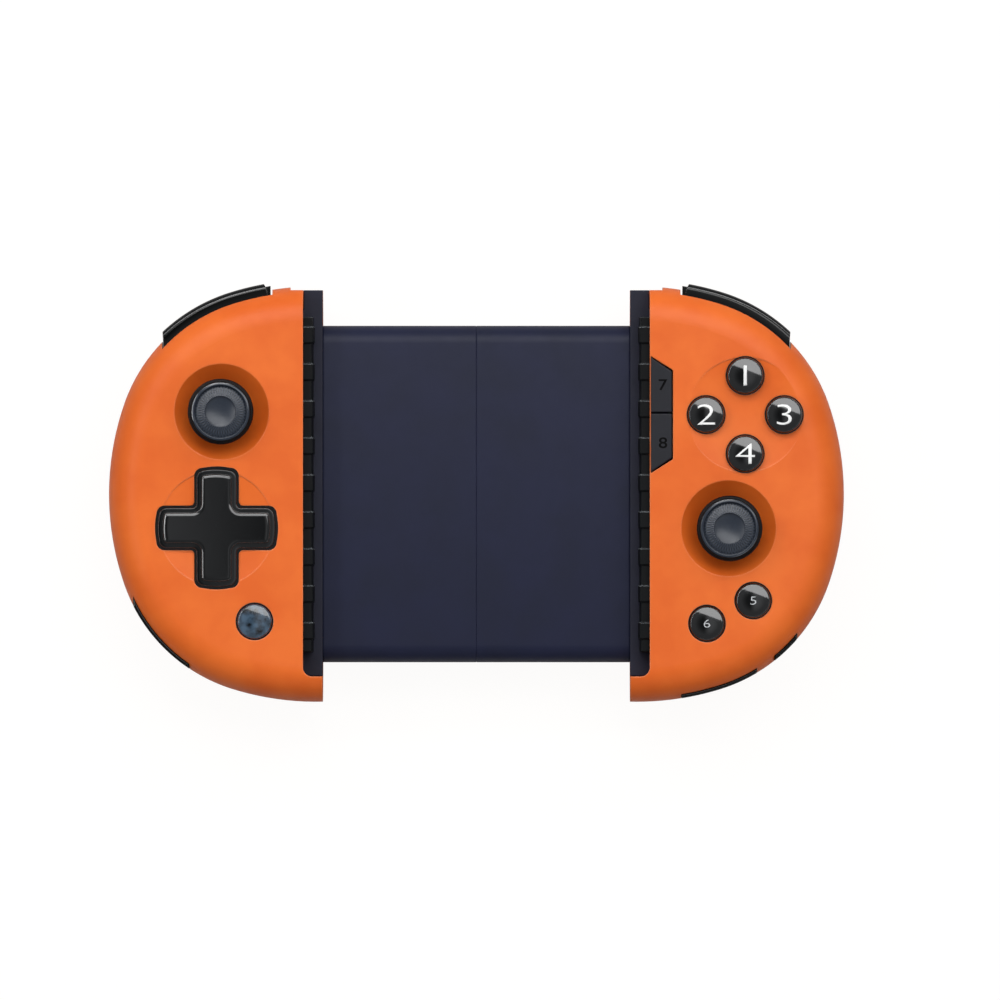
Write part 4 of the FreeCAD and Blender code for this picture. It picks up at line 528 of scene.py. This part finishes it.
def numeral(name, sign, height, stretch, made, body, level, slot, stroke=-0.012):
    """Prints a numeral: a flat letter form, cut into tiles and laid on a surface.

    It is height mm tall and stretched in width. level(x, y) gives the ink's height at a
    place from the key's middle. stroke is how much the form grows, in letter sizes.
    """
    text = bpy.data.curves.new(name, "FONT")
    text.body = sign
    text.size = 1.0
    text.offset = stroke
    text.resolution_u = 8
    writer = bpy.data.objects.new(name, text)
    scene.collection.objects.link(writer)
    mesh = bpy.data.meshes.new_from_object(
        writer.evaluated_get(bpy.context.evaluated_depsgraph_get()))
    bpy.data.objects.remove(writer)
    flat = points_of(mesh)
    low, high = flat.min(0), flat.max(0)
    scale = height / (high[1] - low[1])
    flat = (flat - (low + high) / 2) * scale * (stretch, 1, 0)
    mesh.vertices.foreach_set("co", flat.ravel())
    tiles = bmesh.new()
    tiles.from_mesh(mesh)
    for way, normal in ((0, (1, 0, 0)), (1, (0, 1, 0))):
        for cut in np.arange(-last_cut, last_cut + tile / 2, tile):
            at = [0.0, 0.0, 0.0]
            at[way] = cut
            bmesh.ops.bisect_plane(tiles, geom=tiles.verts[:] + tiles.edges[:] + tiles.faces[:],
                                   plane_co=at, plane_no=normal)
    tiles.to_mesh(mesh)
    tiles.free()
    flat = points_of(mesh)
    middle = place_of(body)[0]
    laid = np.column_stack([flat[:, :2] + middle, level(flat[:, 0], flat[:, 1])]) * MM
    mesh.vertices.foreach_set("co", laid.ravel())
    mesh.materials.clear()
    mesh.materials.append(made)
    item = bpy.data.objects.new(name, mesh)
    scene.collection.objects.link(item)
    film = item.modifiers.new("film", "SOLIDIFY")
    film.thickness = ink_film * MM
    film.offset = 0
    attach(item, body)


def dome_level(name):
    """Gives a function for the height of the ink, just above a round key's dome."""
    high = place_of(name)[2] + ink_lift
    return lambda x, y: high - key_dome + np.sqrt(key_dome ** 2 - x ** 2 - y ** 2)


for name, sign in face_buttons.items():
    numeral(f"{name}_numeral", sign, *face_print, white_ink, name, dome_level(name),
            "gloss_black")
for name, sign in small_keys.items():
    numeral(f"{name}_numeral", sign, *small_print, grey_ink, name, dome_level(name),
            "gloss_black")

# Directional pad: one gloss ABS cross. A low ledge runs round it, and inside it the plateau
# stands up with a narrow polished edge and sinks a little towards its middle.
pad_reach = 13.8
pad_half = 4.7
pad_corner = 1.9
pad_root = 1.0
pad_end_arc = 16.0
pad_flange = 1.0


def cross_ring(inset, height):
    """Gives the cross outline moved in by inset, as one ring of 160 points.

    One arm is a hollow root arc, a corner arc, a swelling end arc and a corner arc. The
    other three are the same arm turned by quarters.
    """
    half = pad_half - inset
    corner = max(pad_corner - inset, 0.25)
    end = pad_end_arc - inset
    end_x = pad_reach - pad_end_arc
    corner_y = half - corner
    corner_x = end_x + math.sqrt((end - corner) ** 2 - corner_y ** 2)
    spread = math.degrees(math.atan2(corner_y, corner_x - end_x))
    root = pad_half + pad_root
    arm = np.vstack([
        arc((root, -root), pad_root + inset, 180, 90, 9),
        arc((corner_x, -corner_y), corner, -90, -spread, 9),
        arc((end_x, 0), end, -spread, spread, 13),
        arc((corner_x, corner_y), corner, spread, 90, 9)])
    turns = [((1, 0), (0, 1)), ((0, 1), (-1, 0)), ((-1, 0), (0, -1)), ((0, -1), (1, 0))]
    flat = np.vstack([arm @ np.array(turn, float) for turn in turns])
    return np.column_stack([flat, np.full(len(flat), height)])


def round_ring(radius, height):
    """Gives a circle whose points stand at the same angles as the flange's."""
    flat = cross_ring(-pad_flange, 0)[:, :2]
    return np.column_stack([radius * flat / np.linalg.norm(flat, axis=1)[:, None],
                            np.full(len(flat), height)])


middle, low, high = place_of("dpad")
side_top = 29.68
ledge_round = 0.2
ledge = side_top + ledge_round
plateau_inset = 1.92
dip = 0.18
socket = 3.0
socket_top = 26.05
flange_high = low + flange_thick
# Each row is an inset and a height: the side, the ledge's rounded edge, the ledge, the
# plateau's steep foot, and its polished edge.
edge_rows = [(0, side_top)] + [
    (ledge_round * (1 - math.cos(a)), side_top + ledge_round * math.sin(a))
    for a in np.radians([20, 45, 70, 90])] + [
    (0.6, ledge), (1.14, ledge + 0.01), (1.2, high - 0.34),
    (1.26, high - 0.24), (1.34, high - 0.19), (1.5, high - 0.13), (1.72, high - 0.045),
    (1.82, high - 0.012), (plateau_inset, high)]
plateau = cross_ring(plateau_inset, high)
rows = [round_ring(socket - 0.3, socket_top), round_ring(socket, socket_top - 0.15),
        round_ring(socket, low), cross_ring(-pad_flange, low),
        cross_ring(-pad_flange, flange_high), cross_ring(0, flange_high)]
rows += [cross_ring(inset, height) for inset, height in edge_rows]
rows += [plateau * (share, share, 1) for share in np.linspace(0.96, 0.08, 12)]
rings = np.array(rows)
hollow = dip * (1 - np.sum(rings[:, :, :2] ** 2, axis=2) / pad_reach ** 2)
rings[:, :, 2] -= hollow * np.clip((rings[:, :, 2] - ledge) / (high - ledge), 0, 1)
rings[:, :, :2] += middle
gloss_pad = moulded("semi_gloss_black_abs", "#090A0B", "#070809", "#141617",
                    rough=0.08, grain=1.5, depth=0.001, edge=0.2, coat=0.6)
piece("dpad_cross", [skin(rings, (*middle, socket_top), (*middle, high - dip))], gloss_pad,
      "dpad", "dpad", width=0.03)

# Sticks: a slate hub with a hollow thumb rest, a knurled ring and a raised lip, inside a
# tyre of black rubber. Below, a ball skirt closes the well. The cap is pressed on the shaft.
knurl_in = 3.7
knurl_out = 5.95
knurl_strokes = 52.0
knurl_wave = 2.2


def hub_rubber(name, middle):
    """Makes the hub's slate rubber, knurled by the distance from the cap's axis.

    The knurl is the product of a wave round the axis and one along the radius, so that it
    shows as short radial strokes. Its crests are painted lighter as a highlight and its
    valleys darker as shade. The real one is about 0.2 mm fine and is drawn coarser to show.
    The lip outside it is rubbed shiny.
    """
    made, tree, out = material(name)
    where = add(tree, "ShaderNodeTexCoord", {})
    local = add(tree, "ShaderNodeMapping", {
        "Vector": where.outputs["Object"], "Location": (*(-middle * MM), 0)})
    axis = add(tree, "ShaderNodeSeparateXYZ", {"Vector": local.outputs[0]})
    flat = add(tree, "ShaderNodeCombineXYZ", {"X": axis.outputs["X"], "Y": axis.outputs["Y"]})
    radius = add(tree, "ShaderNodeVectorMath", {0: flat.outputs[0]}, operation="LENGTH")
    speck = add(tree, "ShaderNodeTexNoise", {
        "Vector": where.outputs["Object"], "Scale": 1 / (0.5 * MM), "Detail": 3.0})
    angle = add(tree, "ShaderNodeMath", {0: axis.outputs["Y"], 1: axis.outputs["X"]},
                operation="ARCTAN2")
    round_phase = add(tree, "ShaderNodeMath", {
        0: angle.outputs[0], 1: knurl_strokes}, operation="MULTIPLY")
    round_wave = add(tree, "ShaderNodeMath", {0: round_phase.outputs[0]}, operation="SINE")
    out_phase = add(tree, "ShaderNodeMath", {
        0: radius.outputs["Value"], 1: 2 * math.pi / (knurl_wave * MM)}, operation="MULTIPLY")
    out_wave = add(tree, "ShaderNodeMath", {0: out_phase.outputs[0]}, operation="SINE")
    bumps = add(tree, "ShaderNodeMath", {0: round_wave.outputs[0], 1: out_wave.outputs[0]},
                operation="MULTIPLY")
    past_rest = add(tree, "ShaderNodeMath", {
        0: radius.outputs["Value"], 1: knurl_in * MM}, operation="GREATER_THAN")
    in_lip = add(tree, "ShaderNodeMath", {
        0: radius.outputs["Value"], 1: knurl_out * MM}, operation="LESS_THAN")
    ring = add(tree, "ShaderNodeMath", {0: past_rest.outputs[0], 1: in_lip.outputs[0]},
               operation="MULTIPLY")
    knurl = add(tree, "ShaderNodeMath", {0: bumps.outputs[0], 1: ring.outputs[0]},
                operation="MULTIPLY")
    slate_tone = add(tree, "ShaderNodeMix", {
        "Factor": speck.outputs["Fac"], 6: linear("#222833"), 7: linear("#2D343F")},
        data_type="RGBA")
    # Painted highlight and shade: the slate colour is scaled up on the knurl's crests and down
    # in its valleys.
    painted_knurl_light = add(tree, "ShaderNodeMapRange", {
        "Value": knurl.outputs[0], "From Min": -0.8, "From Max": 0.8, "To Min": 0.3,
        "To Max": 1.7})
    knurl_lit_and_shaded = add(tree, "ShaderNodeVectorMath", {
        0: slate_tone.outputs[2], "Scale": painted_knurl_light.outputs[0]}, operation="SCALE")
    knurled = add(tree, "ShaderNodeBump", {
        "Height": knurl.outputs[0], "Distance": 0.03 * MM})
    grained = add(tree, "ShaderNodeBump", {
        "Height": speck.outputs["Fac"], "Distance": 0.01 * MM, "Normal": knurled.outputs[0]})
    tone = add(tree, "ShaderNodeMapRange", {
        "Value": in_lip.outputs[0], "To Min": 0.12, "To Max": 0.32})
    surface = add(tree, "ShaderNodeBsdfPrincipled", {
        "Base Color": knurl_lit_and_shaded.outputs[0], "Roughness": tone.outputs[0], "IOR": 1.5,
        "Specular IOR Level": 0.5, "Normal": grained.outputs[0]})
    tree.links.new(surface.outputs[0], out.inputs["Surface"])
    return made


tilt_height = 22.8
skirt_in = 6.7
skirt_out = 7.3
skirt_low = 15
boss = 2.0
neck = 3.2
tyre_in = 6.75
tyre_top = 34.0
rest_low = 34.05
rest_arc = 10.0
cap_profile = np.vstack([
    # The shaft's bore and the boss round it.
    [(0, 31.5), (0.9, 31.5), (0.9, 27.2), (boss, 27.2)],
    # The ball skirt, down its inside and up its outside.
    arc((0, tilt_height), skirt_in, math.degrees(math.acos(boss / skirt_in)), skirt_low, 24),
    arc((0, tilt_height), skirt_out, skirt_low, math.degrees(math.acos(neck / skirt_out)), 24),
    # The neck, the cap's underside and the tyre's round side.
    [(neck, 29.6), (neck, 30.3)],
    arc((neck + 0.4, 30.3), 0.4, 180, 100, 5),
    [(6.2, 31.2)],
    arc((6.6, 32.4), 1.15, -70, 0, 8),
    arc((tyre_in, 33.6), 1.0, 0, 52, 8),
    # The raised lip, whose top falls off outwards at 21 degrees.
    [(7.16, 34.42)],
    arc((6.85, 34.84), 0.2, -20, 66, 6),
    [(6.8, 35.077), (6.66, 35.131), (6.52, 35.181), (6.46, 35.197)],
    arc((6.4, 34.955), 0.25, 85, 170, 5),
    # The groove inside the lip.
    [(6.15, 34.5), (6.06, 34.3), (5.98, 34.29)],
    arc((5.8, 34.235), 0.18, 30, 71, 4),
    # The knurled ring, which rises inwards, and the hollow thumb rest.
    [(5.0, 34.7), (4.4, 34.907), (3.85, 35.096)],
    arc((3.7, 35.0), 0.14, 71, 150, 4),
    arc((0, rest_low + rest_arc), rest_arc, -69.2, -90, 12)])
cap_profile[-1, 0] = 0
tyre_rubber = moulded("matt_black_tyre_rubber", "#07080A", "#050607", "#0E0F11",
                      rough=0.5, grain=0.3, depth=0.006, edge=0.2, shine=0.2)
for name in ("left", "right"):
    middle = place_of(f"{name}_stick_cap")[0]
    cap = piece(f"{name}_stick_tyre_and_hub", [spun(cap_profile, middle, 128)],
                hub_rubber(f"{name}_hub_rubber", middle), f"{name}_stick_top",
                f"{name}_stick_cap")
    cap.data.materials.append(tyre_rubber)
    centres = np.empty(len(cap.data.polygons) * 3)
    cap.data.polygons.foreach_get("center", centres)
    centres = centres.reshape(-1, 3) / MM
    tyre = np.linalg.norm(centres[:, :2] - middle, axis=1) > tyre_in
    tyre |= centres[:, 2] < tyre_top
    cap.data.polygons.foreach_set("material_index", tyre.astype(np.int32))

# Side keys: two matt wedge keys of slate ABS beside the right clamp. Each has a numeral that
# is moulded in and filled with dark paint, drawn here as a film on the face.
side_key_abs = moulded("matt_slate_abs", "#191A22", "#16171E", "#3C404C",
                       rough=0.5, grain=0.25, depth=0.008, edge=0.4, shine=0.3)
side_numerals = {"upper_side_button": "7", "lower_side_button": "8"}
dress(side_key_abs, side_numerals)
soften(side_numerals, 0.2)
dark_fill = moulded("dark_filled_marking", "#030304", "#020203", "#08090B",
                    rough=0.7, grain=0.2, depth=0.002, edge=0.02, shine=0.1)
for name, sign in side_numerals.items():
    top = place_of(name)[2]
    numeral(f"{name}_numeral", sign, *side_print, dark_fill, name,
            lambda x, y: 0 * x + top + ink_lift, "side_key_grey", stroke=0.01)

# Bumpers and triggers: gloss ABS bands that follow the grips' upper outline. A bumper's arm
# and eye hang on the lever pin inside the shell.

# The outline is the CAD's: a side arc, a corner arc and an end arc that meet tangentially.
# Their radii are shares of half the grip's height.
half_tall = 49.0
side_arc = half_tall * 1.3224
corner_arc = half_tall * 0.802
end_arc = half_tall * 1.3612
side_x = side_arc - 86.67
corner_turn = math.radians(19.36)
corner_place = np.array([side_x - (side_arc - corner_arc) * math.cos(corner_turn),
                         (side_arc - corner_arc) * math.sin(corner_turn)])
join = math.asin((half_tall - corner_place[1] - end_arc) / (corner_arc - end_arc))
end_place = corner_place + (corner_arc - end_arc) * np.array([-math.cos(join),
                                                              math.sin(join)])
bumper_near = -48.6
near_lean = 0.53
near_from = -1.2
bumper_far = -73.8
far_lean = 0.14
bumper_low = 16.5
bumper_high = 24.0


def bumper_section():
    """Gives the band's section as a ring of (outwards, height).

    It is a slab with corners rounded by 0.3 to 1.1 mm. Between its flat top and the outer
    corner runs a narrow face that falls off at 21 degrees and shows as a bright line.
    """
    out, back = 1.65, -3.2
    return np.vstack([
        arc((out - 0.8, bumper_low + 0.8), 0.8, -90, 0, 6),
        arc((out - 1.1, bumper_high - 1.195), 1.1, 0, 66, 10),
        [(out - 0.78, bumper_high - 0.136), (out - 0.91, bumper_high - 0.086),
         (out - 1.04, bumper_high - 0.04), (out - 1.14, bumper_high - 0.012),
         (out - 1.24, bumper_high)],
        arc((back + 0.3, bumper_high - 0.3), 0.3, 90, 180, 4),
        arc((back + 0.3, bumper_low + 0.3), 0.3, 180, 270, 4)])


def bumper_rings():
    """Carries the section along the end arc and the corner arc of the left outline.

    A point that stands s outside the outline runs at radius R + s about each arc's centre,
    from the angle of its inner end, past the joint of the arcs, to that of its outer end.
    Both ends lean: the further a point stands outside the outline, the further its ends lie
    towards -X.
    """
    outwards, height = bumper_section().T
    near = bumper_near - near_lean * np.maximum(outwards - near_from, 0)
    far = bumper_far - far_lean * np.maximum(outwards, 0)
    share = np.linspace(0, 1, 25)[:, None]
    start = np.arccos((near - end_place[0]) / (end_arc + outwards))
    stop = np.arccos((far - corner_place[0]) / (corner_arc + outwards))
    meet = math.pi - join
    first = start + (meet - start) * share[:-1]
    second = meet + (stop - meet) * share
    rows = []
    for middle, radius, angle in ((end_place, end_arc, first),
                                  (corner_place, corner_arc, second)):
        rows.append(np.stack([middle[0] + (radius + outwards) * np.cos(angle),
                              middle[1] + (radius + outwards) * np.sin(angle),
                              height + 0 * angle], -1))
    return np.vstack(rows)


def block(low, high):
    """Gives a closed box between two corners, as two rings of four."""
    ring = np.array([(low[0], low[1]), (high[0], low[1]), (high[0], high[1]),
                     (low[0], high[1])])
    rings = np.array([np.column_stack([ring, np.full(4, z)]) for z in (low[2], high[2])])
    middle = ring.mean(0)
    return skin(rings, (*middle, low[2]), (*middle, high[2]))


def tube(middle, inner, outer, low, high, count=48):
    """Gives a closed tube: a ring of four corners carried round an upright axis."""
    turn = np.linspace(0, 2 * np.pi, count, endpoint=False)[:, None]
    radius = np.array([inner, outer, outer, inner])
    height = np.array([low, low, high, high]) + 0 * turn
    return skin(np.stack([middle[0] + radius * np.cos(turn), middle[1] + radius * np.sin(turn),
                          height], -1)[::-1])


pin_place = place_of("left_hinge_pin")[0]
eye_in = 0.95
eye_out = 2.2
eye_top = 20.8
arm_far = 5.0
arm_near = 1.2
arm_half = 1.5
tuck = 0.01
rings = bumper_rings()
caps = [rings[0].mean(0), rings[-1].mean(0)]
skins = [skin(rings, *caps),
         block((pin_place[0] - arm_far, pin_place[1] - arm_half, bumper_low + tuck),
               (pin_place[0] - arm_near, pin_place[1] + arm_half, eye_top - tuck)),
         tube(pin_place, eye_in, eye_out, bumper_low, eye_top)]
lever_abs = moulded("gloss_black_lever_abs", "#050606", "#040505", "#101112",
                    rough=0.08, grain=2.0, depth=0.001, edge=0.3, shine=0.4)
for name, turned in (("left", skins), ("right", mirrored(skins))):
    piece(f"{name}_bumper_band", turned, lever_abs, f"{name}_bumper",
          f"{name}_bumper")
dress(lever_abs, both("trigger"))
soften(both("trigger"), 0.3)

# Gloss inserts: strips let into recesses along the grips' lower outline. The long one on
# the right surrounds the charging socket.
inserts = both("side_insert") + ["right_port_insert"]
dress(lever_abs, inserts)
soften(inserts, 0.25)

# Inner mechanism: acetal runners and gimbals, grey silicone mats under the keys, plated
# steel pins, screws and springs, laminate boards, a foil cell and a polyimide film cable.
acetal = moulded("natural_acetal", "#E4E2DA", "#DAD8D0", "#F0EEE8",
                 rough=0.38, grain=0.4, depth=0.004, edge=0.1)
dress(acetal, both("stick_housing") + both("stick_ring") + both("stick_block")
      + both("rack") + ["pinion", "dpad_rocker"])
mat_silicone = moulded("grey_membrane_silicone", "#8C9196", "#83888D", "#A0A5AA",
                       rough=0.6, grain=0.4, depth=0.01, edge=0.15)
dress(mat_silicone, both("button_mat"))
steel = moulded("plated_steel", "#B9BBBD", "#A9ABAD", "#D0D2D4",
                rough=0.3, grain=0.3, depth=0.002, edge=0.1, metal=1.0)
dress(steel, both("hinge_pin") + both("lever_spring") + both("screws")
      + both("stick_shaft") + ["return_springs", "usb_socket"])
board = moulded("solder_masked_laminate", "#1F5A34", "#1A4F2D", "#2C7044",
                rough=0.3, grain=1.0, depth=0.004, edge=0.1)
dress(board, both("circuit_board"))
foil = moulded("laminate_foil", "#C7CBD0", "#B9BDC2", "#D8DBDF",
               rough=0.35, grain=0.6, depth=0.02, edge=0.2, metal=1.0)
dress(foil, ["battery"])
film = moulded("polyimide_film", "#C8862E", "#B97826", "#D89A44",
               rough=0.3, grain=1.0, depth=0.002, edge=0.1)
dress(film, ["ribbon_cable"])
